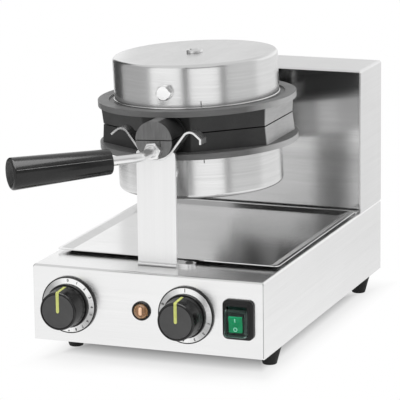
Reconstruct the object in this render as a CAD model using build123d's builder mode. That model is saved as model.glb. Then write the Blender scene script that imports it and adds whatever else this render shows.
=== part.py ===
from build123d import *

import os
from math import asin, atan2, cos, degrees, hypot, radians, sin

os.makedirs("parts", exist_ok=True)

# Base shell and column, in mm; X right, Y back, Z up from the counter
base_width = 250.0
base_depth = 390.0
base_height = 79.0
column_depth = 75.0
column_rise = 158.0
sheet = 1.5
panel = 1.2
bend_radius = 3.0
corner_radius = 1.0
side_flange = 34.0
end_flange = 14.0
plate_overlap = 6.0
sheet_gap = 0.3
touch_gap = 0.1
running_gap = 0.05
hole_gap = 0.15
join_bite = 1.0
edge_round = 0.8

# Feet
foot_height = 23.0
foot_bottom_radius = 7.3
foot_top_radius = 13.5
foot_inset = 17.5
foot_front_inset = 65.0
foot_rear_inset = 27.0
foot_pocket_depth = 9.0
foot_pocket_radius = 5.0
foot_nut_height = 4.0

# Screws
foot_screw_radius = 2.5
sheet_screw_radius = 1.5
machine_screw_radius = 2.0
screw_head_height = 1.8
screw_grip = 6.0

# Column
return_width = 10.0
column_foot_width = 20.0
vent_count = 7
vent_length = 90.0
vent_height = 3.0
vent_pitch = 9.0
vent_drop = 33.0
rear_screw_inset = 18.0
column_screw_front = 20.0
column_screw_rear = 15.0
wire_hole_width = 40.0
wire_hole_depth = 26.0
wire_hole_back = 8.0

# Drip tray
tray_side_gap = 3.5
tray_bracket_gap = 2.0
tray_column_gap = 6.4
tray_height = 4.0
tray_rim = 3.0
tray_slope = 9.0
tray_sheet = 1.0
tray_corner = 5.0

# Turning head
axis_drop = 27.0
trunnion_reach = 5.0
head_tilt = 2.5
parting_half = 0.6
plate_half_width = 89.5
plate_side_half = 43.0
plate_half_depth = 88.0
plate_front_half = 26.0
plate_corner = 3.0
plate_draft = 5.0
plate_wall = 6.0
flange_level = 19.0
flange_thickness = 6.0
flange_radius = 103.5
flange_groove_width = 6.0
flange_groove_depth = 2.0
cavity_depth = 4.0
cell_radius = 11.75
cell_pitch = 26.0
trunnion_radius = 19.6
trunnion_length = 37.0
trunnion_split = 0.8
trunnion_ring_radius = 21.5
trunnion_ring_length = 4.0
slit_x = 7.0
slit_length = 9.8
slit_width = 0.7
slit_depth = 3.0

# Rear boss, shaft and lid hinge
boss_start = 99.0
boss_length = 24.0
boss_radius = 15.0
boss_root = 84.0
shaft_radius = 11.0
shaft_wall = 3.5
shaft_hole_gap = 1.0
hinge_back = 114.0
hinge_height = 6.0
hinge_radius = 8.0
hinge_pin_radius = 3.0
hinge_head_radius = 5.0
hinge_head_length = 2.0
upper_lug_inner = 18.0
upper_lug_depth = 4.0
lower_lug_drop = 4.0
lower_lug_reach = 10.0
bar_root = 0.5
hinge_pin_inset = 1.0
lug_thickness = 6.5
lug_gap = 0.5

# Covers and heaters
cover_radius = 86.0
cover_depth = 44.0
cover_sheet = 1.5
cover_bend = 4.0
cover_slot_angle = 24.0
cover_slot_width = 0.8
cover_slot_height = 7.0
stud_radius = 4.0
stud_seat = 6.5
stud_short = 1.0
washer_rim = 1.0
washer_height = 1.0
cover_nut_flats = 14.0
cover_nut_height = 3.2
side_bolt_height = 42.0
side_bolt_radius = 3.0
side_bolt_head_radius = 7.2
side_bolt_washer = 1.2
side_bolt_crown_radius = 4.8
crown_taper = 30.0
side_bolt_projection = 8.0
side_lug_width = 14.0
side_lug_depth = 8.0
side_lug_height = 25.0
side_lug_gap = 1.0
heater_radius = 52.0
heater_tube_radius = 4.0
heater_gap = 36.0
heater_terminal_radius = 2.2
heater_terminal_length = 24.0
clamp_count = 3
clamp_length = 30.0
clamp_width = 12.0
clamp_sheet = 2.0
clamp_play = 1.0
insulation_gap = 13.0
insulation_thickness = 22.0

# Handle
handle_drop = 10.0
handle_rod_radius = 4.7
handle_rod_seat = 20.0
handle_bend = 18.0
handle_forward = 39.0
handle_heading = 41.9
handle_nut_flats = 16.1
handle_nut_length = 7.0
grip_start = 27.0
grip_length = 108.0
grip_neck_radius = 12.3
grip_end_radius = 16.1
grip_round = 2.5
grip_swell_at = 0.55
grip_swell = 3.0
grip_rod_depth = 60.0

# Front bracket and cradle
bracket_setback = 30.0
bracket_width = 42.0
bracket_sheet = 3.0
bracket_drop = 12.0
bracket_corner = 3.0
bracket_foot = 21.0
bracket_bulge = 2.0
ear_radius = 7.0
ear_reach = 9.0
ear_setback = 12.0
rear_screw_setback = 11.0
rear_screw_spread = 12.0
cradle_depth = 15.0
cradle_sheet = 2.0
cradle_clearance = 0.3
cradle_leg_angle = 53.0
cradle_leg_length = 31.7
cradle_tail_angle = 40.0
cradle_tail_length = 16.0
cradle_tip = 5.0
cradle_bend = 8.0

# Rear bearing
support_width = 100.0
support_top_width = 56.0
support_sheet = 3.0
support_foot = 24.0
support_screw_inset = 15.0
bearing_flange = 48.0
bearing_flange_thickness = 4.0
bearing_bolt_spread = 18.0
bearing_bolt_head = 3.5
bearing_corner = 4.0
bearing_boss_radius = 18.0
bearing_length = 24.3
bush_wall = 3.0
bush_collar_radius = 16.0
bush_collar = 1.5
collar_radius = 17.0
collar_length = 10.0
collar_lug_radius = 24.0
collar_lug_width = 10.0
stop_radius = 22.0
stop_pin_radius = 3.0
stop_gap = 0.3
half_turn = 180.0
shaft_tail = 4.0

# Controls on the front wall
control_height = 39.5
temperature_inset = 40.0
switch_inset = 26.5
timer_to_switch = 56.0
lamp_to_timer = 48.5
dial_radius = 29.5
dial_thickness = 3.5
spindle_radius = 3.0
spindle_seat = 8.0
spindle_short = 1.0
control_bush_radius = 5.0
knob_gap = 0.6
knob_skirt_radius = 23.5
knob_skirt = 2.2
knob_body_radius = 22.5
knob_face_radius = 18.75
knob_projection = 30.0
knob_round = 1.2
knob_bore_depth = 16.0
control_box_width = 36.0
control_box_height = 32.0
control_box_depth = 26.0
control_box_corner = 2.0
lamp_radius = 10.0
lamp_lens_radius = 7.6
lamp_bezel_wall = 0.9
lamp_bezel_thickness = 2.5
lamp_depth = 22.0
lamp_dome = 4.5
lamp_dome_round = 1.8
lens_length = 10.0

# Switch
switch_width = 34.4
switch_height = 43.3
switch_corner = 6.0
switch_bezel = 4.0
switch_round = 1.5
switch_body_width = 26.0
switch_body_height = 35.0
switch_body_depth = 25.0
window_width = 18.8
window_height = 29.0
window_depth = 18.0
rocker_width = 18.0
rocker_height = 26.0
rocker_pivot_depth = 5.0
rocker_reach = 8.0
rocker_dip = 1.4
rocker_tilt = 7.0
rocker_back = 5.0
splash_width = 25.0
splash_height = 35.0
splash_depth = 7.0
splash_wall = 1.2
splash_corner = 3.0
splash_taper = 8.0

# Cable entry and terminals
gland_inset = 40.0
gland_rise = 39.0
gland_bore_radius = 4.0
gland_radius = 8.0
gland_flange_radius = 11.0
gland_flange = 3.0
gland_length = 16.0
gland_nut_flats = 21.0
gland_nut_height = 5.0
terminal_width = 46.0
terminal_depth = 22.0
terminal_height = 18.0
terminal_wire_radius = 2.0
terminal_count = 5

front_y = -base_depth / 2
rear_y = base_depth / 2
base_floor = foot_height
base_top = foot_height + base_height
column_front = rear_y - column_depth
axis_z = base_top + column_rise - axis_drop
control_z = foot_height + control_height
temperature_x = temperature_inset - base_width / 2
switch_x = base_width / 2 - switch_inset
timer_x = switch_x - timer_to_switch
lamp_x = timer_x - lamp_to_timer
gland_x = base_width / 2 - gland_inset
plate_back = flange_level + flange_thickness
cover_top = plate_back + cover_depth
trunnion_face = plate_half_depth + trunnion_length
trunnion_root = plate_half_depth - plate_wall + join_bite
bracket_y = front_y + bracket_setback
head_y = bracket_y - trunnion_reach + trunnion_face

lean = radians(head_tilt)
head_right = Vector(cos(lean), 0, sin(lean))
head_up = Vector(-sin(lean), 0, cos(lean))
head = Plane(origin=(0, head_y, axis_z), x_dir=head_right, z_dir=head_up)


def save(piece, name):
    piece.part.label = name
    export_step(piece.part, f"parts/{name}.step")


def upright(y, x=0.0, z=0.0):
    return Plane(origin=(x, y, z), x_dir=(1, 0, 0), z_dir=(0, -1, 0))


def head_level(h):
    return head.offset(h)


def head_station(y, x=0.0, h=0.0):
    at = head.from_local_coords((x, y, h))
    return Plane(origin=at, x_dir=head_right, z_dir=(0, -1, 0))


def head_side(x):
    at = head.from_local_coords((x, 0, 0))
    return Plane(origin=at, x_dir=(0, 1, 0), z_dir=head_right)


# Base shell: bent sheet with an open bottom, inward flanges and the control and wire openings
screw_x = base_width / 2 - side_flange + plate_overlap / 2
screw_y = base_depth / 2 - end_flange + plate_overlap / 2
plate_screw_points = [(sx * screw_x, sy * screw_y) for sx in (-1, 1) for sy in (-1, 0, 1)]
foot_x = base_width / 2 - foot_inset
foot_rows = {"front": front_y + foot_front_inset, "rear": rear_y - foot_rear_inset}
foot_points = {
    f"foot_{row}_{side}": (sx * foot_x, y)
    for row, y in foot_rows.items()
    for side, sx in (("left", -1), ("right", 1))
}
bracket_height = axis_z - bracket_drop - base_top
ear_x = bracket_width / 2 + ear_reach
ear_y = bracket_y + ear_setback
rear_screw_y = bracket_y + bracket_sheet + rear_screw_setback
bracket_screw_points = [
    (ear_x, ear_y),
    (-rear_screw_spread, rear_screw_y),
    (rear_screw_spread, rear_screw_y),
]
column_screw_x = base_width / 2 - sheet - column_foot_width / 2
support_y = column_front + 2 * panel + sheet_gap
support_screw_x = support_width / 2 - support_screw_inset
support_screw_y = support_y + support_sheet + support_foot / 2
column_screw_points = [
    (sx * column_screw_x, y)
    for sx in (-1, 1)
    for y in (column_front + column_screw_front, rear_y - column_screw_rear)
] + [(-support_screw_x, support_screw_y), (support_screw_x, support_screw_y)]
wire_hole_y = (column_front + rear_y) / 2 + wire_hole_back

with BuildPart() as base_housing:
    with BuildSketch(Plane.XY.offset(base_floor)):
        Rectangle(base_width, base_depth)
    extrude(amount=base_height)
    fillet(base_housing.edges().filter_by(Axis.Z), radius=corner_radius)
    fillet(base_housing.faces().sort_by(Axis.Z)[-1].edges(), radius=bend_radius)
    with BuildSketch(Plane.XY.offset(base_floor)):
        Rectangle(base_width - 2 * side_flange, base_depth - 2 * end_flange)
    extrude(amount=sheet, mode=Mode.SUBTRACT)
    with BuildSketch(Plane.XY.offset(base_floor + sheet)):
        Rectangle(base_width - 2 * sheet, base_depth - 2 * sheet)
    extrude(amount=base_height - 2 * sheet, mode=Mode.SUBTRACT)
    with BuildSketch(Plane.XY.offset(base_floor)):
        with Locations(*plate_screw_points):
            Circle(sheet_screw_radius + hole_gap)
        with Locations(*foot_points.values()):
            Circle(foot_screw_radius + hole_gap)
    extrude(amount=sheet, mode=Mode.SUBTRACT)
    with BuildSketch(Plane.XY.offset(base_top - sheet)):
        with Locations(*bracket_screw_points, *column_screw_points):
            Circle(machine_screw_radius + hole_gap)
        with Locations((0, wire_hole_y)):
            Rectangle(wire_hole_width, wire_hole_depth)
    extrude(amount=sheet, mode=Mode.SUBTRACT)
    with BuildSketch(upright(front_y, 0, control_z)):
        with Locations((temperature_x, 0), (timer_x, 0)):
            Circle(control_bush_radius + hole_gap)
        with Locations((lamp_x, 0)):
            Circle(lamp_lens_radius + lamp_bezel_wall + hole_gap)
        with Locations((switch_x, 0)):
            Rectangle(switch_body_width + 2 * hole_gap, switch_body_height + 2 * hole_gap)
    extrude(amount=-sheet, mode=Mode.SUBTRACT)
    with BuildSketch(upright(rear_y, gland_x, foot_height + gland_rise)):
        Circle(gland_radius + hole_gap)
    extrude(amount=sheet, mode=Mode.SUBTRACT)
save(base_housing, "base_housing")

with BuildPart() as base_plate:
    with BuildSketch(Plane.XY.offset(base_floor + sheet)):
        Rectangle(
            base_width - 2 * side_flange + 2 * plate_overlap,
            base_depth - 2 * end_flange + 2 * plate_overlap,
        )
        with Locations(*plate_screw_points):
            Circle(sheet_screw_radius + hole_gap, mode=Mode.SUBTRACT)
    extrude(amount=panel)
save(base_plate, "base_plate")

with BuildPart() as base_plate_screws:
    with BuildSketch(Plane.XY.offset(base_floor - screw_head_height)):
        with Locations(*plate_screw_points):
            Circle(2 * sheet_screw_radius)
    extrude(amount=screw_head_height)
    with BuildSketch(Plane.XY.offset(base_floor)):
        with Locations(*plate_screw_points):
            Circle(sheet_screw_radius)
    extrude(amount=screw_grip)
save(base_plate_screws, "base_plate_screws")

# Rubber feet: cones with a sunk screw
for foot_name, (foot_px, foot_py) in foot_points.items():
    with BuildPart() as foot:
        with Locations((foot_px, foot_py, foot_height / 2)):
            Cone(foot_bottom_radius, foot_top_radius, foot_height)
        with BuildSketch(Plane.XY):
            with Locations((foot_px, foot_py)):
                Circle(foot_pocket_radius)
        extrude(amount=foot_pocket_depth, mode=Mode.SUBTRACT)
        with BuildSketch(Plane.XY):
            with Locations((foot_px, foot_py)):
                Circle(foot_screw_radius + hole_gap)
        extrude(amount=foot_height, mode=Mode.SUBTRACT)
    save(foot, foot_name)

foot_nut_level = base_floor + sheet
with BuildPart() as foot_fasteners:
    with BuildSketch(Plane.XY.offset(foot_pocket_depth - 2 * screw_head_height)):
        with Locations(*foot_points.values()):
            Circle(foot_pocket_radius - 2 * sheet_gap)
    extrude(amount=2 * screw_head_height)
    with BuildSketch(Plane.XY.offset(foot_pocket_depth)):
        with Locations(*foot_points.values()):
            Circle(foot_screw_radius)
    extrude(amount=foot_nut_level + foot_nut_height + join_bite - foot_pocket_depth)
    with BuildSketch(Plane.XY.offset(foot_nut_level)):
        with Locations(*foot_points.values()):
            RegularPolygon(2 * foot_screw_radius, 6)
    extrude(amount=foot_nut_height)
save(foot_fasteners, "foot_fasteners")

# Column: a bent cover with a brushed front panel and a vented rear panel
inner_width = base_width - 2 * sheet
column_mid = (column_front + rear_y) / 2
panel_width = inner_width - 2 * sheet_gap
panel_height = column_rise - sheet - 2 * sheet_gap
panel_mid = base_top + sheet_gap + panel_height / 2
rear_screw_x = inner_width / 2 - return_width / 2
rear_screw_z = panel_height / 2 - rear_screw_inset
rear_screw_points = [
    (sx * rear_screw_x, sz * rear_screw_z) for sx in (-1, 1) for sz in (-1, 0, 1)
]
with BuildPart() as column_cover:
    with BuildSketch(upright(column_front, 0, base_top + column_rise / 2)):
        Rectangle(base_width, column_rise)
    extrude(amount=-column_depth)
    fillet(column_cover.faces().sort_by(Axis.Z)[-1].edges(), radius=bend_radius)
    with BuildSketch(upright(column_front, 0, base_top + (column_rise - sheet) / 2)):
        Rectangle(inner_width, column_rise - sheet)
    extrude(amount=-column_depth, mode=Mode.SUBTRACT)
    with BuildSketch(
        upright(column_front + panel, 0, base_top + (column_rise - sheet) / 2),
        upright(rear_y - 2 * panel, 0, base_top + (column_rise - sheet) / 2),
    ):
        Rectangle(inner_width, column_rise - sheet)
        with Locations((0, -return_width / 2)):
            Rectangle(
                inner_width - 2 * return_width,
                column_rise - sheet - return_width,
                mode=Mode.SUBTRACT,
            )
    extrude(amount=-panel)
    with BuildSketch(Plane.XY.offset(base_top)):
        with Locations((-column_screw_x, column_mid), (column_screw_x, column_mid)):
            Rectangle(column_foot_width, column_depth - 4 * panel)
        with Locations(*column_screw_points[:4]):
            Circle(machine_screw_radius + hole_gap, mode=Mode.SUBTRACT)
    extrude(amount=sheet)
    with BuildSketch(upright(rear_y - 2 * panel, 0, panel_mid)):
        with Locations(*rear_screw_points):
            Circle(sheet_screw_radius + hole_gap)
    extrude(amount=-panel, mode=Mode.SUBTRACT)
save(column_cover, "column_cover")

with BuildPart() as column_front_panel:
    with BuildSketch(upright(column_front, 0, panel_mid)):
        Rectangle(panel_width, panel_height)
        with Locations((0, axis_z - panel_mid)):
            Circle(shaft_radius + shaft_hole_gap, mode=Mode.SUBTRACT)
    extrude(amount=-panel)
save(column_front_panel, "column_front_panel")

with BuildPart() as column_rear_panel:
    with BuildSketch(upright(rear_y - panel, 0, panel_mid)):
        Rectangle(panel_width, panel_height)
        with Locations((0, panel_height / 2 - vent_drop)):
            with GridLocations(0, vent_pitch, 1, vent_count):
                SlotOverall(vent_length, vent_height, mode=Mode.SUBTRACT)
        with Locations(*rear_screw_points):
            Circle(sheet_screw_radius + hole_gap, mode=Mode.SUBTRACT)
    extrude(amount=-panel)
save(column_rear_panel, "column_rear_panel")

with BuildPart() as rear_panel_screws:
    with BuildSketch(upright(rear_y, 0, panel_mid)):
        with Locations(*rear_screw_points):
            Circle(2 * sheet_screw_radius)
    extrude(amount=-screw_head_height)
    with BuildSketch(upright(rear_y, 0, panel_mid)):
        with Locations(*rear_screw_points):
            Circle(sheet_screw_radius)
    extrude(amount=screw_grip)
save(rear_panel_screws, "rear_panel_screws")

with BuildPart() as column_screws:
    with BuildSketch(Plane.XY.offset(base_top - sheet - screw_head_height)):
        with Locations(*column_screw_points):
            Circle(2 * machine_screw_radius)
    extrude(amount=screw_head_height)
    with BuildSketch(Plane.XY.offset(base_top - sheet)):
        with Locations(*column_screw_points):
            Circle(machine_screw_radius)
    extrude(amount=screw_grip)
save(column_screws, "column_screws")

# Cable entry in the rear wall
gland_z = foot_height + gland_rise
with BuildPart() as cable_gland:
    with BuildSketch(upright(rear_y, gland_x, gland_z)):
        Circle(gland_flange_radius)
    extrude(amount=-gland_flange)
    fillet(cable_gland.faces().sort_by(Axis.Y)[-1].edges(), radius=edge_round)
    with BuildSketch(upright(rear_y, gland_x, gland_z)):
        Circle(gland_radius)
    extrude(amount=gland_length - gland_flange)
    with BuildSketch(upright(rear_y + gland_flange, gland_x, gland_z)):
        Circle(gland_bore_radius)
    extrude(amount=gland_length, mode=Mode.SUBTRACT)
save(cable_gland, "cable_gland")

with BuildPart() as gland_nut:
    with BuildSketch(upright(rear_y - sheet, gland_x, gland_z)):
        RegularPolygon(gland_nut_flats / 2, 6, major_radius=False)
        Circle(gland_radius + running_gap, mode=Mode.SUBTRACT)
    extrude(amount=gland_nut_height)
save(gland_nut, "gland_nut")

with BuildPart() as terminal_block:
    with BuildSketch(Plane.XY.offset(base_floor + sheet + panel)):
        with Locations((gland_x - terminal_width, rear_y - 2 * terminal_depth)):
            Rectangle(terminal_width, terminal_depth)
    extrude(amount=terminal_height)
    with BuildSketch(
        upright(
            rear_y - terminal_depth,
            gland_x - terminal_width,
            base_floor + sheet + panel + terminal_height / 2,
        )
    ):
        with GridLocations(terminal_width / terminal_count, 0, terminal_count, 1):
            Circle(terminal_wire_radius)
    extrude(amount=2 * terminal_depth, mode=Mode.SUBTRACT)
save(terminal_block, "terminal_block")

# Drip tray: a rim round a sloped lip and a flat floor
tray_front = bracket_y + bracket_foot + tray_bracket_gap
tray_rear = column_front - tray_column_gap
tray_y = (tray_front + tray_rear) / 2
tray_width = base_width - 2 * tray_side_gap
tray_depth = tray_rear - tray_front
tray_floor_width = tray_width - 2 * (tray_rim + tray_slope)
tray_floor_depth = tray_depth - 2 * (tray_rim + tray_slope)
with BuildPart() as drip_tray:
    with BuildSketch(Plane.XY.offset(base_top)):
        with Locations((0, tray_y)):
            RectangleRounded(
                tray_floor_width + 2 * tray_sheet,
                tray_floor_depth + 2 * tray_sheet,
                tray_corner,
            )
    with BuildSketch(Plane.XY.offset(base_top + tray_height - tray_sheet)):
        with Locations((0, tray_y)):
            RectangleRounded(
                tray_width - 2 * tray_rim + 2 * tray_sheet,
                tray_depth - 2 * tray_rim + 2 * tray_sheet,
                tray_corner,
            )
    loft()
    with BuildSketch(Plane.XY.offset(base_top + tray_height - tray_sheet)):
        with Locations((0, tray_y)):
            RectangleRounded(tray_width, tray_depth, tray_corner)
    extrude(amount=tray_sheet)
    with BuildSketch(Plane.XY.offset(base_top + tray_sheet)):
        with Locations((0, tray_y)):
            RectangleRounded(tray_floor_width, tray_floor_depth, tray_corner)
    with BuildSketch(Plane.XY.offset(base_top + tray_height)):
        with Locations((0, tray_y)):
            RectangleRounded(
                tray_width - 2 * tray_rim, tray_depth - 2 * tray_rim, tray_corner
            )
    loft(mode=Mode.SUBTRACT)
save(drip_tray, "drip_tray")

# Front support: a folded bracket with a bent cradle band for the trunnion
cradle_radius = trunnion_radius + cradle_clearance
with BuildPart() as support_bracket:
    with BuildSketch(upright(bracket_y, 0, base_top + bracket_height / 2)) as bracket_face:
        Rectangle(bracket_width, bracket_height)
        fillet(bracket_face.vertices().group_by(Axis.Y)[-1], radius=bracket_corner)
        with Locations((0, axis_z - base_top - bracket_height / 2)):
            Circle(cradle_radius + cradle_sheet + running_gap, mode=Mode.SUBTRACT)
    extrude(amount=-bracket_sheet)
    with BuildSketch(Plane.XY.offset(base_top)):
        with Locations((0, bracket_y + bracket_foot / 2)):
            Rectangle(bracket_width, bracket_foot)
        with Locations((ear_x / 2, ear_y)):
            Rectangle(ear_x, 2 * ear_radius)
        with Locations((ear_x, ear_y)):
            Circle(ear_radius)
        with Locations(*bracket_screw_points):
            Circle(machine_screw_radius + hole_gap, mode=Mode.SUBTRACT)
    extrude(amount=bracket_sheet)
    with BuildSketch(Plane.YZ.offset(-bracket_width / 2)):
        with Locations((bracket_y, base_top + bracket_bulge)):
            Circle(bracket_bulge)
    extrude(amount=bracket_width)
save(support_bracket, "support_bracket")

leg = radians(cradle_leg_angle)
tail = radians(cradle_tail_angle)
band_radius = cradle_radius + cradle_sheet / 2
seat_x = band_radius * sin(leg)
seat_z = -band_radius * cos(leg)
crest_x = seat_x + cradle_leg_length * cos(leg)
crest_z = seat_z + cradle_leg_length * sin(leg)
tail_x = crest_x + cradle_tail_length * cos(tail)
tail_z = crest_z - cradle_tail_length * sin(tail)
with BuildPart() as support_cradle:
    with BuildSketch(upright(bracket_y, 0, axis_z)):
        with BuildLine() as band:
            ThreePointArc((-seat_x, seat_z), (0, -band_radius), (seat_x, seat_z))
            FilletPolyline(
                (seat_x, seat_z), (crest_x, crest_z), (tail_x, tail_z), radius=cradle_bend
            )
            Line((tail_x, tail_z), (tail_x, tail_z - cradle_tip))
            FilletPolyline(
                (-seat_x, seat_z), (-crest_x, crest_z), (-tail_x, tail_z), radius=cradle_bend
            )
        trace(band.line, line_width=cradle_sheet)
    extrude(amount=-cradle_depth)
save(support_cradle, "support_cradle")

with BuildPart() as bracket_screws:
    with BuildSketch(Plane.XY.offset(base_top + bracket_sheet)):
        with Locations(*bracket_screw_points):
            Circle(2 * machine_screw_radius)
    extrude(amount=screw_head_height)
    fillet(bracket_screws.faces().sort_by(Axis.Z)[-3:].edges(), radius=edge_round)
    with BuildSketch(Plane.XY.offset(base_top + bracket_sheet)):
        with Locations(*bracket_screw_points):
            Circle(machine_screw_radius)
    extrude(amount=-(bracket_sheet + screw_grip))
save(bracket_screws, "bracket_screws")

# Rear bearing: a folded support behind the front panel, a flanged housing and its bush
support_top = axis_z + bearing_flange / 2
bearing_y = support_y + support_sheet
bush_outer = shaft_radius + bush_wall
bearing_bolt_points = [
    (sx * bearing_bolt_spread, sz * bearing_bolt_spread) for sx in (-1, 1) for sz in (-1, 1)
]
with BuildPart() as shaft_support:
    with BuildSketch(upright(support_y)):
        with BuildLine():
            Polyline(
                (-support_width / 2, base_top),
                (support_width / 2, base_top),
                (support_top_width / 2, support_top),
                (-support_top_width / 2, support_top),
                close=True,
            )
        make_face()
        with Locations((0, axis_z)):
            Circle(bush_outer + shaft_hole_gap, mode=Mode.SUBTRACT)
        with Locations(*[(x, z + axis_z) for x, z in bearing_bolt_points]):
            Circle(machine_screw_radius + hole_gap, mode=Mode.SUBTRACT)
    extrude(amount=-support_sheet)
    with BuildSketch(Plane.XY.offset(base_top)):
        with Locations((0, support_y + support_sheet + support_foot / 2)):
            Rectangle(support_width, support_foot)
        with Locations(*column_screw_points[4:]):
            Circle(machine_screw_radius + hole_gap, mode=Mode.SUBTRACT)
    extrude(amount=support_sheet)
save(shaft_support, "shaft_support")

# The collar's lug turns from one stop post to the other, half a turn away
stop_step = 2 * degrees(
    asin((collar_lug_width / 2 + stop_pin_radius + stop_gap) / (2 * stop_radius))
)
lug_angle = 90.0 + head_tilt
stop_angles = (lug_angle - stop_step, lug_angle + half_turn + stop_step)
stop_points = [
    (stop_radius * cos(radians(a)), stop_radius * sin(radians(a))) for a in stop_angles
]
collar_y = bearing_y + bearing_length + bush_collar + sheet_gap
with BuildPart() as bearing_housing:
    with BuildSketch(upright(bearing_y, 0, axis_z)):
        RectangleRounded(bearing_flange, bearing_flange, bearing_corner)
        with Locations(*bearing_bolt_points):
            Circle(machine_screw_radius + hole_gap, mode=Mode.SUBTRACT)
    extrude(amount=-bearing_flange_thickness)
    with BuildSketch(upright(bearing_y, 0, axis_z)):
        Circle(bearing_boss_radius)
    extrude(amount=-bearing_length)
    with BuildSketch(upright(bearing_y, 0, axis_z)):
        with Locations(*stop_points):
            Circle(stop_pin_radius)
    extrude(amount=-(collar_y + collar_length - bearing_y))
    with BuildSketch(upright(bearing_y, 0, axis_z)):
        Circle(bush_outer + running_gap)
    extrude(amount=-bearing_length, mode=Mode.SUBTRACT)
save(bearing_housing, "bearing_housing")

with BuildPart() as bearing_bush:
    with BuildSketch(upright(bearing_y, 0, axis_z)):
        Circle(bush_outer)
    extrude(amount=-bearing_length)
    with BuildSketch(upright(bearing_y + bearing_length, 0, axis_z)):
        Circle(bush_collar_radius)
    extrude(amount=-bush_collar)
    with BuildSketch(upright(bearing_y, 0, axis_z)):
        Circle(shaft_radius + running_gap)
    extrude(amount=-(bearing_length + bush_collar), mode=Mode.SUBTRACT)
save(bearing_bush, "bearing_bush")

with BuildPart() as bearing_screws:
    with BuildSketch(upright(bearing_y + bearing_flange_thickness, 0, axis_z)):
        with Locations(*bearing_bolt_points):
            Circle(bearing_bolt_head)
    extrude(amount=-screw_head_height)
    with BuildSketch(upright(support_y, 0, axis_z)):
        with Locations(*bearing_bolt_points):
            Circle(machine_screw_radius)
    extrude(amount=-(support_sheet + bearing_flange_thickness))
save(bearing_screws, "bearing_screws")

shaft_end = collar_y + collar_length + shaft_tail
shaft_length = shaft_end - head_y - boss_start
with BuildPart() as rear_shaft:
    with BuildSketch(head_station(boss_start)):
        Circle(shaft_radius)
        Circle(shaft_radius - shaft_wall, mode=Mode.SUBTRACT)
    extrude(amount=-shaft_length)
save(rear_shaft, "rear_shaft")

with BuildPart() as shaft_collar:
    with BuildSketch(head_station(collar_y - head_y)):
        Circle(collar_radius)
        with Locations((0, collar_lug_radius / 2)):
            Rectangle(collar_lug_width, collar_lug_radius)
        Circle(shaft_radius + running_gap, mode=Mode.SUBTRACT)
    extrude(amount=-collar_length)
save(shaft_collar, "shaft_collar")

# Casting shared by both halves, drawn as the upper one
row_step = cell_pitch * sin(radians(60))
cell_columns = {0: 5, 1: 6, 2: 5, 3: 4}
cell_points = [
    (sx * column * row_step, (k - (count - 1) / 2) * cell_pitch)
    for column, count in cell_columns.items()
    for sx in ((1,) if column == 0 else (-1, 1))
    for k in range(count)
]
web_level = parting_half + cavity_depth
side_lug_face = cover_radius - cover_sheet - side_lug_gap
plate_corners = [
    (plate_front_half, -plate_half_depth),
    (plate_half_width, -plate_side_half),
    (plate_half_width, plate_side_half),
    (plate_front_half, plate_half_depth),
    (-plate_front_half, plate_half_depth),
    (-plate_half_width, plate_side_half),
    (-plate_half_width, -plate_side_half),
    (-plate_front_half, -plate_half_depth),
]

with BuildPart() as casting:
    with BuildSketch(head_level(parting_half)) as outline:
        with BuildLine():
            Polyline(*plate_corners, close=True)
        make_face()
        fillet(outline.vertices(), radius=plate_corner)
    extrude(amount=flange_level - parting_half + join_bite, taper=-plate_draft)
    with BuildSketch(head_level(flange_level)):
        Circle(flange_radius)
    extrude(amount=flange_thickness)
    with BuildSketch(head_station(-trunnion_root)):
        Circle(trunnion_radius)
        with Locations((0, trunnion_split / 2 - trunnion_radius)):
            Rectangle(3 * trunnion_radius, 2 * trunnion_radius, mode=Mode.SUBTRACT)
    extrude(amount=trunnion_face - trunnion_root)
    with BuildSketch(head_station(-trunnion_root)):
        Circle(trunnion_ring_radius)
        with Locations((0, parting_half - trunnion_ring_radius)):
            Rectangle(3 * trunnion_radius, 2 * trunnion_ring_radius, mode=Mode.SUBTRACT)
    extrude(amount=plate_half_depth + trunnion_ring_length - trunnion_root)
    with BuildSketch(head_level(parting_half)):
        with BuildLine():
            Polyline(*plate_corners, close=True)
        make_face()
        offset(amount=-plate_wall, kind=Kind.INTERSECTION, mode=Mode.REPLACE)
    extrude(amount=cavity_depth, mode=Mode.SUBTRACT)
    with Locations(*[head_level(web_level).location * Pos(x, y) for x, y in cell_points]):
        Sphere(cell_radius, mode=Mode.SUBTRACT)
    with BuildSketch(head_level(plate_back - join_bite)):
        with Locations((0, side_lug_depth / 2 - side_lug_face)):
            Rectangle(side_lug_width, side_lug_depth)
    extrude(amount=side_lug_height + join_bite)
    with BuildSketch(head_station(-cover_radius, 0, side_bolt_height)):
        Circle(side_bolt_radius + running_gap)
    extrude(amount=side_lug_face - cover_radius - side_lug_depth - join_bite, mode=Mode.SUBTRACT)
    with BuildSketch(head_level(plate_back)):
        Circle(stud_radius + running_gap)
    extrude(amount=-(stud_seat + touch_gap), mode=Mode.SUBTRACT)
    with BuildSketch(head_level(plate_back)):
        Circle(cover_radius + flange_groove_width)
        Circle(cover_radius, mode=Mode.SUBTRACT)
    extrude(amount=-flange_groove_depth, mode=Mode.SUBTRACT)

lower_lug_inner = upper_lug_inner + lug_thickness + lug_gap
with BuildPart() as upper_plate:
    add(casting.part)
    with BuildSketch(head_side(upper_lug_inner), head_side(-upper_lug_inner - lug_thickness)):
        with Locations((hinge_back, hinge_height)):
            Circle(hinge_radius)
        with Locations((plate_half_depth - upper_lug_depth, flange_level / 2)):
            Rectangle(upper_lug_depth, flange_level - upper_lug_depth)
        make_hull()
        with Locations((hinge_back, hinge_height)):
            Circle(hinge_pin_radius + running_gap, mode=Mode.SUBTRACT)
    extrude(amount=lug_thickness)
save(upper_plate, "upper_plate")

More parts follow.
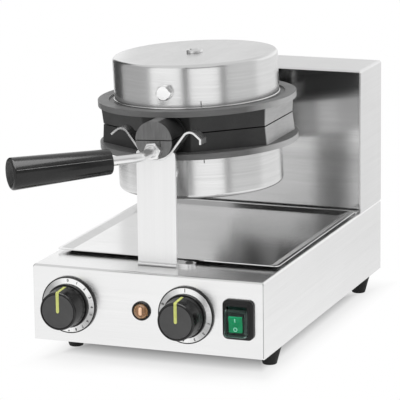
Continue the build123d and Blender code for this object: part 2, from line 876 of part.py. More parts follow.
bar_start = plate_half_depth - lower_lug_reach
bar_height = flange_level - lower_lug_drop
bar_length = hinge_back + hinge_radius - bar_start
with BuildPart() as lower_plate:
    mirror(casting.part, about=head)
    with BuildSketch(head_station(boss_root)):
        Circle(boss_radius)
        with Locations((0, boss_radius - trunnion_split / 2)):
            Rectangle(3 * boss_radius, 2 * boss_radius, mode=Mode.SUBTRACT)
    extrude(amount=boss_root - boss_start - join_bite)
    with BuildSketch(head_station(boss_start)):
        Circle(boss_radius)
    extrude(amount=-boss_length)
    with BuildSketch(head_station(boss_start - touch_gap)):
        Circle(shaft_radius + running_gap)
    extrude(amount=-(boss_length + join_bite), mode=Mode.SUBTRACT)
    with BuildSketch(
        head_side(lower_lug_inner), head_side(-lower_lug_inner - lug_thickness)
    ):
        with Locations((hinge_back, hinge_height)):
            Circle(hinge_radius)
        with Locations((hinge_back, -lower_lug_drop - bar_height / 2)):
            Rectangle(2 * hinge_radius, bar_height)
        make_hull()
        with Locations(
            (bar_start + bar_length / 2, -lower_lug_drop - (bar_height + bar_root) / 2)
        ):
            Rectangle(bar_length, bar_height + bar_root)
        with Locations((hinge_back, hinge_height)):
            Circle(hinge_pin_radius + running_gap, mode=Mode.SUBTRACT)
    extrude(amount=lug_thickness)
    with BuildSketch(head_station(-trunnion_face, 0, -handle_drop)):
        Circle(handle_rod_radius + running_gap)
    extrude(amount=-handle_rod_seat - touch_gap, mode=Mode.SUBTRACT)
    with BuildSketch(head_station(-trunnion_face)):
        with Locations((slit_x, -slit_length / 2)):
            Rectangle(slit_width, slit_length)
    extrude(amount=-slit_depth, mode=Mode.SUBTRACT)
save(lower_plate, "lower_plate")

pin_inner = upper_lug_inner - hinge_pin_inset
pin_outer = lower_lug_inner + lug_thickness
with BuildPart() as hinge_pins:
    with BuildSketch(head_side(pin_inner)):
        with Locations((hinge_back, hinge_height)):
            Circle(hinge_pin_radius)
    extrude(amount=pin_outer - pin_inner)
    with BuildSketch(head_side(pin_outer)):
        with Locations((hinge_back, hinge_height)):
            Circle(hinge_head_radius)
    extrude(amount=hinge_head_length)
    mirror(about=Plane(origin=head.origin, x_dir=head_up, z_dir=head_right))
save(hinge_pins, "hinge_pins")

# Pieces that both halves share, drawn for the upper one and mirrored for the lower one
slot_turn = radians(cover_slot_angle)
slot_out = head_right * sin(slot_turn) - Vector(0, cos(slot_turn), 0)
slot_plane = Plane(origin=head.origin, x_dir=head_up.cross(slot_out), z_dir=slot_out)
with BuildPart() as cover:
    with BuildSketch(head_side(0)):
        with BuildLine():
            FilletPolyline(
                (0, cover_top),
                (cover_radius, cover_top),
                (cover_radius, plate_back),
                radius=cover_bend,
            )
            Polyline((cover_radius, plate_back), (cover_radius - cover_sheet, plate_back))
            FilletPolyline(
                (cover_radius - cover_sheet, plate_back),
                (cover_radius - cover_sheet, cover_top - cover_sheet),
                (0, cover_top - cover_sheet),
                radius=cover_bend - cover_sheet,
            )
            Polyline((0, cover_top - cover_sheet), (0, cover_top))
        make_face()
    revolve(axis=Axis(head.origin, head_up))
    with BuildSketch(head_level(cover_top)):
        Circle(stud_radius + hole_gap)
    extrude(amount=-cover_sheet, mode=Mode.SUBTRACT)
    with BuildSketch(head_station(-cover_radius, 0, side_bolt_height)):
        Circle(side_bolt_radius + hole_gap)
    extrude(amount=-2 * cover_sheet, mode=Mode.SUBTRACT)
    with BuildSketch(slot_plane):
        with Locations((0, plate_back)):
            Rectangle(cover_slot_width, 2 * cover_slot_height)
    extrude(amount=2 * cover_radius, mode=Mode.SUBTRACT)

with BuildPart() as cover_stud:
    with BuildSketch(head_level(plate_back - stud_seat)):
        Circle(stud_radius)
    extrude(amount=stud_seat + cover_depth + cover_nut_height - stud_short)

with BuildPart() as cover_nut:
    with BuildSketch(head_level(cover_top)):
        Circle(cover_nut_flats / 2 + washer_rim)
        Circle(stud_radius + running_gap, mode=Mode.SUBTRACT)
    extrude(amount=washer_height)
    with BuildSketch(head_level(cover_top + washer_height)):
        RegularPolygon(cover_nut_flats / 2, 6, major_radius=False)
    extrude(amount=cover_nut_height)
    with BuildSketch(head_level(cover_top)):
        Circle(stud_radius + running_gap)
    extrude(amount=cover_nut_height, mode=Mode.SUBTRACT)

bolt_head = side_bolt_projection - side_bolt_washer
with BuildPart() as side_bolt:
    with BuildSketch(head_station(-cover_radius, 0, side_bolt_height)):
        Circle(side_bolt_head_radius)
    extrude(amount=side_bolt_washer)
    with BuildSketch(head_station(-(cover_radius + side_bolt_washer), 0, side_bolt_height)):
        RegularPolygon(side_bolt_head_radius - washer_rim, 6)
    extrude(amount=bolt_head / 2)
    with BuildSketch(
        head_station(-(cover_radius + side_bolt_washer + bolt_head / 2), 0, side_bolt_height)
    ):
        Circle(side_bolt_crown_radius)
    extrude(amount=bolt_head / 2, taper=crown_taper)
    with BuildSketch(head_station(-cover_radius, 0, side_bolt_height)):
        Circle(side_bolt_radius)
    extrude(amount=side_lug_face - cover_radius - side_lug_depth)

heater_level = plate_back + heater_tube_radius + touch_gap
with BuildPart() as heater:
    with BuildSketch(head_side(0)):
        with Locations((heater_radius, heater_level)):
            Circle(heater_tube_radius)
    revolve(axis=Axis(head.origin, head_up))
    with BuildSketch(head_level(plate_back)):
        with Locations((0, heater_radius)):
            Rectangle(heater_gap, 2 * heater_radius)
    extrude(amount=3 * heater_tube_radius, mode=Mode.SUBTRACT)
    terminal_x = heater_gap / 2 + heater_terminal_radius + edge_round
    terminal_y = (heater_radius**2 - terminal_x**2) ** 0.5
    with BuildSketch(
        head_station(terminal_y, terminal_x, heater_level),
        head_station(terminal_y, -terminal_x, heater_level),
    ):
        Circle(heater_terminal_radius)
    extrude(amount=-heater_terminal_length)

clamp_inner = 2 * (heater_tube_radius + touch_gap)
clamp_turn = 360.0 / clamp_count
with BuildPart() as heater_clamps:
    for k in range(clamp_count):
        clamp_angle = radians(k * clamp_turn - 90.0)
        clamp_out = head_right * cos(clamp_angle) + Vector(0, sin(clamp_angle), 0)
        clamp_along = clamp_out.cross(head_up)
        clamp_face = Plane(
            origin=Vector(head.origin) + clamp_out * heater_radius - clamp_along * clamp_width / 2,
            x_dir=clamp_out,
            z_dir=clamp_along,
        )
        clamp_side = clamp_face.to_local_coords(Vector(head.origin) + head_up).Y
        with BuildSketch(clamp_face):
            with Locations((0, clamp_side * (plate_back + (clamp_inner + clamp_sheet) / 2))):
                Rectangle(clamp_length, clamp_inner + clamp_sheet)
            with Locations((0, clamp_side * (plate_back + clamp_inner / 2))):
                Rectangle(clamp_inner + clamp_play, clamp_inner, mode=Mode.SUBTRACT)
        extrude(amount=clamp_width)

insulation_level = plate_back + clamp_inner + clamp_sheet
insulation_radius = cover_radius - insulation_gap
with BuildPart() as insulation:
    with BuildSketch(head_level(insulation_level)):
        Circle(insulation_radius)
        Circle(stud_radius + clamp_play, mode=Mode.SUBTRACT)
    extrude(amount=insulation_thickness)

half_pieces = {
    "cover": cover,
    "cover_stud": cover_stud,
    "cover_nut": cover_nut,
    "side_bolt": side_bolt,
    "heater": heater,
    "heater_clamps": heater_clamps,
    "insulation": insulation,
}
for half_name, upper_piece in half_pieces.items():
    save(upper_piece, f"upper_{half_name}")
    with BuildPart() as lower_piece:
        mirror(upper_piece.part, about=head)
    save(lower_piece, f"lower_{half_name}")

# Handle: a bent rod screwed into the lower trunnion, its lock nut and the grip
heading = radians(handle_heading)
handle_level = head_level(-handle_drop)
bend_y = -(trunnion_face + handle_forward)
reach_x = -cos(heading)
reach_y = -sin(heading)
rod_start = -(trunnion_face - handle_rod_seat)
rod_reach = grip_start + grip_rod_depth
with BuildPart() as handle_rod:
    with BuildLine(handle_level):
        FilletPolyline(
            (0, rod_start),
            (0, bend_y),
            (reach_x * rod_reach, bend_y + reach_y * rod_reach),
            radius=handle_bend,
        )
    with BuildSketch(head_station(rod_start, 0, -handle_drop)):
        Circle(handle_rod_radius)
    sweep()
save(handle_rod, "handle_rod")

with BuildPart() as handle_nut:
    with BuildSketch(head_station(-trunnion_face, 0, -handle_drop)):
        RegularPolygon(handle_nut_flats / 2, 6, major_radius=False)
        Circle(handle_rod_radius + running_gap, mode=Mode.SUBTRACT)
    extrude(amount=handle_nut_length)
save(handle_nut, "handle_nut")

grip_origin = handle_level.from_local_coords((0, bend_y, 0))
grip_forward = head_right * reach_x + Vector(0, reach_y, 0)
grip_plane = Plane(origin=grip_origin, x_dir=grip_forward, z_dir=head_up)
grip_end = grip_start + grip_length
with BuildPart() as handle_grip:
    with BuildSketch(grip_plane):
        with BuildLine():
            Polyline((grip_start, 0), (grip_start, grip_neck_radius - grip_round))
            Line(
                (grip_start, grip_neck_radius - grip_round),
                (grip_start + grip_round, grip_neck_radius),
            )
            Spline(
                (grip_start + grip_round, grip_neck_radius),
                (grip_start + grip_length * grip_swell_at, grip_neck_radius + grip_swell),
                (grip_end - grip_round, grip_end_radius),
            )
            Line(
                (grip_end - grip_round, grip_end_radius),
                (grip_end, grip_end_radius - grip_round),
            )
            Polyline((grip_end, grip_end_radius - grip_round), (grip_end, 0), (grip_start, 0))
        make_face()
    revolve(axis=Axis(grip_origin, grip_forward))
    with BuildSketch(
        Plane(
            origin=grip_plane.from_local_coords((grip_start, 0, 0)),
            x_dir=head_up,
            z_dir=grip_forward,
        )
    ):
        Circle(handle_rod_radius + running_gap)
    extrude(amount=grip_rod_depth + touch_gap, mode=Mode.SUBTRACT)
save(handle_grip, "handle_grip")

# Two turning controls: dial, knob, spindle and the regulator behind the wall
knob_y = front_y - dial_thickness - knob_gap
knob_front = front_y - knob_projection
cone_length = knob_y - knob_skirt - knob_front
knob_taper = degrees(atan2(knob_body_radius - knob_face_radius, cone_length))
box_y = front_y + sheet
bush_face = front_y - dial_thickness
for control_name, body_name, control_x in (
    ("temperature", "thermostat", temperature_x),
    ("timer", "timer_mechanism", timer_x),
):
    with BuildPart() as dial:
        with BuildSketch(upright(front_y, control_x, control_z)):
            Circle(dial_radius)
            Circle(control_bush_radius + hole_gap, mode=Mode.SUBTRACT)
        extrude(amount=dial_thickness)
        fillet(dial.faces().sort_by(Axis.Y)[0].outer_wire().edges(), radius=edge_round)
    save(dial, f"{control_name}_dial")

    with BuildPart() as knob:
        with BuildSketch(upright(knob_y, control_x, control_z)):
            Circle(knob_skirt_radius)
        extrude(amount=knob_skirt)
        with BuildSketch(upright(knob_y - knob_skirt, control_x, control_z)):
            Circle(knob_body_radius)
        extrude(amount=cone_length, taper=knob_taper)
        fillet(knob.faces().sort_by(Axis.Y)[0].edges(), radius=knob_round)
        with BuildSketch(upright(knob_y, control_x, control_z)):
            Circle(spindle_radius + running_gap)
        extrude(amount=knob_bore_depth, mode=Mode.SUBTRACT)
    save(knob, f"{control_name}_knob")

    with BuildPart() as spindle:
        with BuildSketch(upright(box_y + spindle_seat, control_x, control_z)):
            Circle(spindle_radius)
        extrude(amount=box_y + spindle_seat - knob_y + knob_bore_depth - spindle_short)
    save(spindle, f"{control_name}_spindle")

    with BuildPart() as regulator:
        with BuildSketch(upright(box_y, control_x, control_z)):
            RectangleRounded(control_box_width, control_box_height, control_box_corner)
        extrude(amount=-control_box_depth)
        with BuildSketch(upright(box_y, control_x, control_z)):
            Circle(control_bush_radius)
        extrude(amount=box_y - bush_face)
        with BuildSketch(upright(bush_face, control_x, control_z)):
            Circle(spindle_radius + running_gap)
        extrude(
            amount=-(box_y - bush_face + spindle_seat + touch_gap), mode=Mode.SUBTRACT
        )
    save(regulator, body_name)

# Pilot lamp
with BuildPart() as lamp_bezel:
    with BuildSketch(upright(front_y, lamp_x, control_z)):
        Circle(lamp_radius)
    extrude(amount=lamp_bezel_thickness)
    fillet(lamp_bezel.faces().sort_by(Axis.Y)[0].edges(), radius=edge_round)
    with BuildSketch(upright(front_y, lamp_x, control_z)):
        Circle(lamp_lens_radius + lamp_bezel_wall)
    extrude(amount=-lamp_depth)
    with BuildSketch(upright(front_y + lamp_depth - lamp_bezel_thickness, lamp_x, control_z)):
        Circle(lamp_lens_radius + running_gap)
    extrude(amount=2 * lamp_depth, mode=Mode.SUBTRACT)
save(lamp_bezel, "lamp_bezel")

with BuildPart() as lamp_lens:
    with BuildSketch(upright(front_y - lamp_bezel_thickness, lamp_x, control_z)):
        Circle(lamp_lens_radius)
    extrude(amount=-lens_length)
    with BuildSketch(upright(front_y - lamp_bezel_thickness, lamp_x, control_z)):
        Circle(lamp_lens_radius)
    extrude(amount=lamp_dome - lamp_bezel_thickness)
    fillet(lamp_lens.faces().sort_by(Axis.Y)[0].edges(), radius=lamp_dome_round)
save(lamp_lens, "lamp_lens")

# Rocker switch with its clear splash cover
with BuildPart() as switch_housing:
    with BuildSketch(upright(front_y, switch_x, control_z)):
        RectangleRounded(switch_width, switch_height, switch_corner)
    extrude(amount=switch_bezel)
    fillet(switch_housing.faces().sort_by(Axis.Y)[0].edges(), radius=switch_round)
    with BuildSketch(upright(front_y, switch_x, control_z)):
        Rectangle(switch_body_width, switch_body_height)
    extrude(amount=-switch_body_depth)
    with BuildSketch(upright(front_y - switch_bezel, switch_x, control_z)):
        Rectangle(window_width, window_height)
    extrude(amount=-window_depth, mode=Mode.SUBTRACT)
save(switch_housing, "switch_housing")

rock = radians(rocker_tilt)
rocker_plane = Plane(
    origin=(switch_x - rocker_width / 2, front_y + rocker_pivot_depth, control_z),
    x_dir=(0, cos(rock), sin(rock)),
    z_dir=(1, 0, 0),
)
with BuildPart() as switch_rocker:
    with BuildSketch(rocker_plane):
        with BuildLine():
            Polyline(
                (rocker_back, -rocker_height / 4),
                (-rocker_reach, -rocker_height / 2),
                (rocker_dip - rocker_reach, 0),
                (-rocker_reach, rocker_height / 2),
                (rocker_back, rocker_height / 4),
                close=True,
            )
        make_face()
    extrude(amount=rocker_width)
save(switch_rocker, "switch_rocker")

splash_y = front_y - switch_bezel
with BuildPart() as switch_cover:
    with BuildSketch(upright(splash_y, switch_x, control_z)):
        RectangleRounded(splash_width, splash_height, splash_corner)
    extrude(amount=splash_depth, taper=splash_taper)
    fillet(switch_cover.faces().sort_by(Axis.Y)[0].edges(), radius=edge_round)
    with BuildSketch(upright(splash_y, switch_x, control_z)):
        RectangleRounded(
            splash_width - 2 * splash_wall,
            splash_height - 2 * splash_wall,
            splash_corner - splash_wall,
        )
    extrude(amount=splash_depth - splash_wall, taper=splash_taper, mode=Mode.SUBTRACT)
save(switch_cover, "switch_cover")

print("head axis", axis_z, "head centre y", head_y, "handle tip", bend_y + reach_y * grip_end)
print("stops", stop_angles, "grip reach", hypot(reach_x * grip_end, reach_y * grip_end))
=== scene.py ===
import math

import bpy
import bmesh
from mathutils import Matrix, Vector


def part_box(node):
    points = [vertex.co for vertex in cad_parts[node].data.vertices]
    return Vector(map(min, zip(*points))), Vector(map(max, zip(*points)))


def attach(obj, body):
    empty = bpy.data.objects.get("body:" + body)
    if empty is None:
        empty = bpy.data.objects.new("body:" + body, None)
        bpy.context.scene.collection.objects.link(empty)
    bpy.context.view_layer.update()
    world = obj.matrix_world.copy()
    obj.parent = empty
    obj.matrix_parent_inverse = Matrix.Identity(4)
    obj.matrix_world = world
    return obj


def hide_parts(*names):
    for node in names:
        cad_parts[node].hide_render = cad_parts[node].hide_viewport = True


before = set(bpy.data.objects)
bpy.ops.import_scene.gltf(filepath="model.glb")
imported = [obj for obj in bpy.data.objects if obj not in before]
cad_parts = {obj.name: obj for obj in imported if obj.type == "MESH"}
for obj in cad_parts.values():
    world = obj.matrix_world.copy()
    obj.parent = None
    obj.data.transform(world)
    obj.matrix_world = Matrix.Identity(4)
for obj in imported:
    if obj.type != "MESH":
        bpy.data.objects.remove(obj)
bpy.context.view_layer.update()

mm = 0.001
near = 0.02 * mm  # what is closer than this counts as one place
outward = Vector((0, -1, 0))  # the way the front wall faces
tilt = math.radians(2.5)  # the head leans a little to the left
headOrigin = Vector((0, -45.0, 233.0)) * mm
headTurn = Matrix.Rotation(-tilt, 3, "Y")
headUp = headTurn @ Vector((0, 0, 1))
halves = {"upper": ("lid", 1), "lower": ("head", -1)}  # the body of each, and its way up
print("frame loaded")


# Camera, at the photograph's place and angle
cameraView = {
    "place": (0.980, -2.575, 0.766),
    "azimuth": 21.16,
    "elevation": 12.90,
    "roll": -0.76,
    "lens": 238.41,
    "sensor": 36.0,
    "clip": (0.05, 60.0),
}


def placeCamera(view):
    azimuth, elevation, roll = (
        math.radians(view[key]) for key in ("azimuth", "elevation", "roll")
    )
    back = Vector((
        math.sin(azimuth) * math.cos(elevation),
        -math.cos(azimuth) * math.cos(elevation),
        math.sin(elevation),
    ))
    right = Vector((0, 0, 1)).cross(back).normalized()
    up = back.cross(right)
    turnedRight = math.cos(roll) * right + math.sin(roll) * up
    turnedUp = math.cos(roll) * up - math.sin(roll) * right
    data = bpy.data.cameras.new("camera")
    data.lens = view["lens"]
    data.sensor_width = view["sensor"]
    data.clip_start, data.clip_end = view["clip"]
    camera = bpy.data.objects.new("camera", data)
    bpy.context.scene.collection.objects.link(camera)
    axes = Matrix((turnedRight, turnedUp, back)).transposed().to_4x4()
    camera.matrix_world = Matrix.Translation(view["place"]) @ axes
    bpy.context.scene.camera = camera


placeCamera(cameraView)
bpy.context.scene.view_settings.view_transform = "Standard"


# Nodes, each made and linked in one call
def feed(tree, socket, value):  # links what another node gives, or sets a plain value
    if isinstance(value, bpy.types.NodeSocket):
        tree.links.new(value, socket)
    else:
        socket.default_value = value


def addNode(tree, kind, inputs=None, **settings):
    node = tree.nodes.new(kind)
    for key, value in settings.items():
        setattr(node, key, value)
    for socket, value in (inputs or {}).items():
        feed(tree, node.inputs[socket], value)
    return node


def noiseNode(tree, vector, scale, detail=2.0, roughness=0.5, distortion=0.0):
    return addNode(tree, "ShaderNodeTexNoise", {
        "Vector": vector, "Scale": scale, "Detail": detail, "Roughness": roughness,
        "Distortion": distortion,
    }).outputs["Fac"]


def mathNode(tree, operation, first, second=0.0):
    node = addNode(tree, "ShaderNodeMath", {0: first, 1: second}, operation=operation)
    return node.outputs[0]


def shareNode(tree, *parts):  # adds two values up, each times its share
    return mathNode(tree, "ADD", *(mathNode(tree, "MULTIPLY", *part) for part in parts))


def vectorNode(tree, operation, *vectors):
    return addNode(tree, "ShaderNodeVectorMath", dict(enumerate(vectors)),
                   operation=operation).outputs


def placeNode(tree, kind="Object"):
    return addNode(tree, "ShaderNodeTexCoord").outputs[kind]


def axisNode(tree, vector):  # its X, Y and Z
    return addNode(tree, "ShaderNodeSeparateXYZ", {"Vector": vector}).outputs


def rangeNode(tree, value, low, high, toLow=0.0, toHigh=1.0):
    return addNode(tree, "ShaderNodeMapRange", {
        "Value": value, "From Min": low, "From Max": high, "To Min": toLow,
        "To Max": toHigh,
    }, clamp=True).outputs["Result"]


def paint(tone):  # a number is a plain grey, and another node's colour stays as it is
    if isinstance(tone, float):
        tone = (tone,) * 3
    return (*tone, 1.0) if isinstance(tone, tuple) else tone


def colourRamp(tree, mask, tones):
    low, high = map(paint, tones)
    return addNode(tree, "ShaderNodeMix", {"A": low, "B": high, "Factor": mask},
                   data_type="RGBA").outputs["Result"]


def rayNode(tree, kind):
    return addNode(tree, "ShaderNodeLightPath").outputs[f"Is {kind} Ray"]


def mirrorRays(tree):  # 1 for the rays that metal and glass send
    return mathNode(tree, "MAXIMUM", rayNode(tree, "Glossy"), rayNode(tree, "Transmission"))


def mixShaders(tree, share, first, second):
    return addNode(tree, "ShaderNodeMixShader", {0: share, 1: first, 2: second}).outputs[0]


def emptyTree(holder):  # of a material or the world
    holder.use_nodes = True
    holder.node_tree.nodes.clear()
    return holder.node_tree


def newMaterial(name):
    material = bpy.data.materials.new(name)
    return material, emptyTree(material)


# Shader groups that several finishes share
grainSockets = {"Place": "Vector", "Grain": "Float"}, ("Height", "Tone")


def newGroup(name, inputs, outputs):
    tree = bpy.data.node_groups.new(name, "ShaderNodeTree")
    for label, kind in inputs.items():
        tree.interface.new_socket(name=label, in_out="INPUT",
                                  socket_type=f"NodeSocket{kind}")
    for label in outputs:
        tree.interface.new_socket(name=label, in_out="OUTPUT",
                                  socket_type="NodeSocketFloat")
    given = addNode(tree, "NodeGroupInput")
    result = addNode(tree, "NodeGroupOutput")
    return tree, given.outputs, result.inputs


def brushGroup():  # long fine lines of a brushed sheet, and faint clouds
    tree, given, result = newGroup("brushLines", {"Stretched": "Vector", "Place": "Vector"},
                                   ("Lines", "Clouds"))
    fine = noiseNode(tree, given["Stretched"], 1.0, 4.0, 0.7)
    broad = noiseNode(tree, given["Stretched"], 0.23)
    lines = shareNode(tree, (fine, 0.65), (broad, 0.35))
    clouds = noiseNode(tree, given["Place"], 14.0, distortion=0.4)
    feed(tree, result["Lines"], rangeNode(tree, lines, 0.3, 0.7))
    feed(tree, result["Clouds"], rangeNode(tree, clouds, 0.3, 0.7))
    return tree


def castGroup():  # sand-cast skin: fine grain, pits and soft flow marks
    tree, given, result = newGroup("castSkin", *grainSockets)
    grain = noiseNode(tree, given["Place"], given["Grain"], 3.0, 0.65)
    flow = noiseNode(tree, given["Place"], 45.0, 3.0, 0.55, 0.6)
    tone = shareNode(tree, (grain, 0.55), (flow, 0.45))
    feed(tree, result["Height"], shareNode(tree, (grain, 0.7), (flow, 0.3)))
    feed(tree, result["Tone"], rangeNode(tree, tone, 0.32, 0.68))
    return tree


def mouldGroup():  # moulded plastic and rubber: faint orange peel and handling marks
    tree, given, result = newGroup("mouldSkin", *grainSockets)
    marks = noiseNode(tree, given["Place"], 60.0, 4.0, 0.6, 0.8)
    feed(tree, result["Height"], noiseNode(tree, given["Place"], given["Grain"]))
    feed(tree, result["Tone"], rangeNode(tree, marks, 0.35, 0.7))
    return tree


brushLines, castSkin, mouldSkin = brushGroup(), castGroup(), mouldGroup()


# Surfaces: each gives a mask for colour and gloss, and a height for the bumps
def brushNode(tree, place, look):
    stretched = addNode(tree, "ShaderNodeMapping", {
        "Vector": place, "Scale": look["stretch"], "Rotation": look.get("turn", (0, 0, 0)),
    })
    return addNode(tree, "ShaderNodeGroup",
                   {"Stretched": stretched.outputs["Vector"], "Place": place},
                   node_tree=brushLines).outputs


def brushedSurface(tree, place, look):
    brushed = brushNode(tree, place, look)
    return (shareNode(tree, (brushed["Lines"], 0.75), (brushed["Clouds"], 0.25)),
            brushed["Lines"])


def grainSurface(tree, place, look):  # cast or moulded
    grain = addNode(tree, "ShaderNodeGroup", {"Place": place, "Grain": look["grain"]},
                    node_tree=look["skin"]).outputs
    return grain["Tone"], grain["Height"]


def spunSurface(tree, place, look):  # streaks that run outwards from a dial's middle, and a painted reflection: light and dark fans at set bearings
    across, height = look["middle"]
    centred = addNode(tree, "ShaderNodeMapping", {
        "Vector": place, "Scale": (1, 0, 1), "Location": (-across * mm, 0, -height * mm),
    })
    bearing = vectorNode(tree, "NORMALIZE", centred.outputs["Vector"])["Vector"]
    fine = noiseNode(tree, bearing, look["fine"], 3.0, 0.6)
    # painted reflection: the scale is lighter where its bearing lines up with the sheen
    # axis, as a fixed fan
    fan = vectorNode(tree, "DOT_PRODUCT", bearing, look["fan"])["Value"]
    mask = shareNode(tree, (mathNode(tree, "MULTIPLY", fan, fan), 0.75), (fine, 0.5))
    return rangeNode(tree, mask, 0.2, 0.8), fine


# Bare metal on the cast plates, painted highlights on their round flanges and side facets,
# and painted shade in their parting line, in metres
bare = {
    "endBefore": -0.1698,  # the milled front end, along Y
    "sideHighlightBehind": -0.1332,  # painted highlight on the side facets, which leaves out the trunnion
    "sideHighlightFacing": (0.76, 0.98),  # how far a face turns to the side, from and to
    "flangeHighlightOver": 0.0188,  # painted highlight on the round flanges, from the parting plane
    "seamShadeWithin": 0.00045,  # painted shade in the parting line between the plates
}


def bareAndPaintedLightMasks(tree, place):
    depth = axisNode(tree, place)["Y"]
    facing = axisNode(tree, placeNode(tree, "Normal"))["X"]
    height = vectorNode(tree, "DOT_PRODUCT", place, headUp)["Value"]
    level = mathNode(tree, "ABSOLUTE",
                     mathNode(tree, "SUBTRACT", height, headOrigin.dot(headUp)))
    sides = rangeNode(tree, mathNode(tree, "ABSOLUTE", facing), *bare["sideHighlightFacing"])
    behind = mathNode(tree, "GREATER_THAN", depth, bare["sideHighlightBehind"])
    return {
        "end": mathNode(tree, "LESS_THAN", depth, bare["endBefore"]),
        "sides": mathNode(tree, "MULTIPLY", sides, behind),
        "flangeHighlight": mathNode(tree, "GREATER_THAN", level, bare["flangeHighlightOver"]),
        # painted shade: a black line along the parting plane
        "seam": mathNode(tree, "LESS_THAN", level, bare["seamShadeWithin"]),
    }


def bareAndPaintedLightFaces(tree, place, colour, looks):  # cast skin gives way to bare metal, painted highlights and painted shade
    masks, metal = bareAndPaintedLightMasks(tree, place), 0.0
    for name, look in looks.items():
        patchTone = colourRamp(tree, brushNode(tree, place, look)["Lines"], look["tones"])
        colour = colourRamp(tree, masks[name], (colour, patchTone))
        metal = mathNode(tree, "MAXIMUM", metal,
                         mathNode(tree, "MULTIPLY", masks[name], look["metal"]))
    return colour, metal


def makeFinish(name, look):
    material, tree = newMaterial(name)
    shader = addNode(tree, "ShaderNodeBsdfPrincipled",
                     {key: value for key, value in look.items() if key[0].isupper()})
    place = placeNode(tree)
    mask, height = look["surface"](tree, place, look)
    colour = colourRamp(tree, mask, look["tones"])
    if "bare" in look:
        colour, metal = bareAndPaintedLightFaces(tree, place, colour, look["bare"])
        feed(tree, shader.inputs["Metallic"], metal)
    feed(tree, shader.inputs["Base Color"], colour)
    shown = shader.outputs["BSDF"]
    if "rough" in look:
        feed(tree, shader.inputs["Roughness"],
             rangeNode(tree, mask, 0.0, 1.0, *look["rough"]))
        bump = addNode(tree, "ShaderNodeBump", {
            "Distance": look["depth"], "Strength": look["bump"], "Height": height,
        })
        feed(tree, shader.inputs["Normal"], bump.outputs["Normal"])
    else:  # a clear moulding lets light through to what it covers
        clear = addNode(tree, "ShaderNodeBsdfTransparent").outputs["BSDF"]
        shown = mixShaders(tree, rayNode(tree, "Shadow"), shown, clear)
    addNode(tree, "ShaderNodeOutputMaterial", {"Surface": shown})
    return material


# Finishes, family by family: tones and roughness run from the mask's low end to its high
# one, and what starts with a capital letter is set on the shader itself
finishes = {}


def makeFinishes(shared, looks):
    for name, look in looks.items():
        finishes[name] = makeFinish(name, {**shared, **look})


makeFinishes({"surface": brushedSurface, "depth": 0.00002, "Metallic": 1.0}, {
    "baseSteel": {"tones": (0.82, 0.88), "rough": (0.27, 0.19), "stretch": (9, 9, 900),
                  "bump": 0.08},
    "columnSteel": {"tones": (0.78, 0.86), "rough": (0.36, 0.28), "stretch": (9, 9, 900),
                    "bump": 0.10},
    "panelSteel": {"tones": (0.52, 0.64), "rough": (0.16, 0.10), "stretch": (7, 7, 700),
                   "bump": 0.10},
    "traySteel": {"tones": (0.72, 0.84), "rough": (0.17, 0.11), "stretch": (7, 700, 7),
                  "bump": 0.08},
    "coverSteel": {"tones": (0.70, 0.86), "rough": (0.26, 0.18), "stretch": (7, 7, 620),
                   "turn": (0, tilt, 0), "bump": 0.20},
    "bracketSteel": {"tones": (0.82, 0.88), "rough": (0.34, 0.28),
                     "stretch": (500, 500, 6), "bump": 0.05},
    "cradleSteel": {"tones": (0.72, 0.86), "rough": (0.30, 0.22),
                    "stretch": (60, 700, 60), "bump": 0.20},
    "rodSteel": {"tones": (0.82, 0.94), "rough": (0.34, 0.26), "stretch": (40, 40, 900),
                 "bump": 0.12},
})
makeFinishes({"surface": grainSurface, "skin": castSkin, "depth": 0.0001,
              "Metallic": 1.0}, {
    "boltSteel": {"tones": (0.70, 0.86), "rough": (0.32, 0.22), "grain": 2200.0,
                  "bump": 0.12},
    "brightBolt": {"tones": (0.93, 0.98), "rough": (0.24, 0.18), "grain": 2200.0,
                   "bump": 0.06},
    "shaftSteel": {"tones": (0.45, 0.60), "rough": (0.34, 0.26), "grain": 1500.0,
                   "bump": 0.15},
    "zincSheet": {"tones": ((0.495, 0.50, 0.505), (0.6534, 0.66, 0.6666)),
                  "rough": (0.48, 0.36), "grain": 120.0, "bump": 0.1},
    # the base plate's zinc, painted dark as shade so that the floor under the base stays
    # shaded
    "plateZinc": {"tones": ((0.1584, 0.16, 0.1616), (0.2376, 0.24, 0.2424)),
                  "rough": (0.55, 0.45), "grain": 120.0, "bump": 0.1, "Metallic": 0.8},
    "castPlate": {
        "tones": (0.006, 0.020), "rough": (0.54, 0.44), "grain": 900.0,
        "depth": 0.00014, "bump": 0.8, "Metallic": 0.0, "IOR": 1.60,
        # the flange and side patches are painted highlights and the seam is painted shade;
        # only the end is bare metal
        "bare": {
            "flangeHighlight": {"stretch": (60, 60, 900), "tones": (0.12, 0.18), "metal": 0.3},
            "sides": {"stretch": (9, 60, 500), "tones": (0.46, 0.58), "metal": 0.7},
            "end": {"stretch": (500, 9, 60), "tones": (0.14, 0.24), "metal": 0.6},
            "seam": {"stretch": (60, 60, 60), "tones": (0.001, 0.002), "metal": 0.0},
        },
    },
    "castIron": {"tones": (0.07, 0.13), "rough": (0.6, 0.5), "grain": 700.0, "bump": 0.6,
                 "Metallic": 0.4},
    "seamShadow": {"tones": (0.08, 0.16), "rough": (0.6, 0.5), "grain": 900.0,
                   "bump": 0.2, "Metallic": 0.6},
    "bronze": {"tones": ((0.45, 0.30, 0.14), (0.60, 0.42, 0.20)), "rough": (0.4, 0.3),
               "grain": 1500.0, "bump": 0.2},
    "heaterSheath": {"tones": ((0.16, 0.14, 0.13), (0.26, 0.23, 0.21)),
                     "rough": (0.5, 0.4), "grain": 1800.0, "bump": 0.3, "Metallic": 0.8},
    "fibrePad": {"tones": ((0.62, 0.58, 0.50), (0.82, 0.79, 0.72)), "rough": (0.95, 0.9),
                 "grain": 600.0, "depth": 0.0006, "bump": 0.8, "Metallic": 0.0},
})
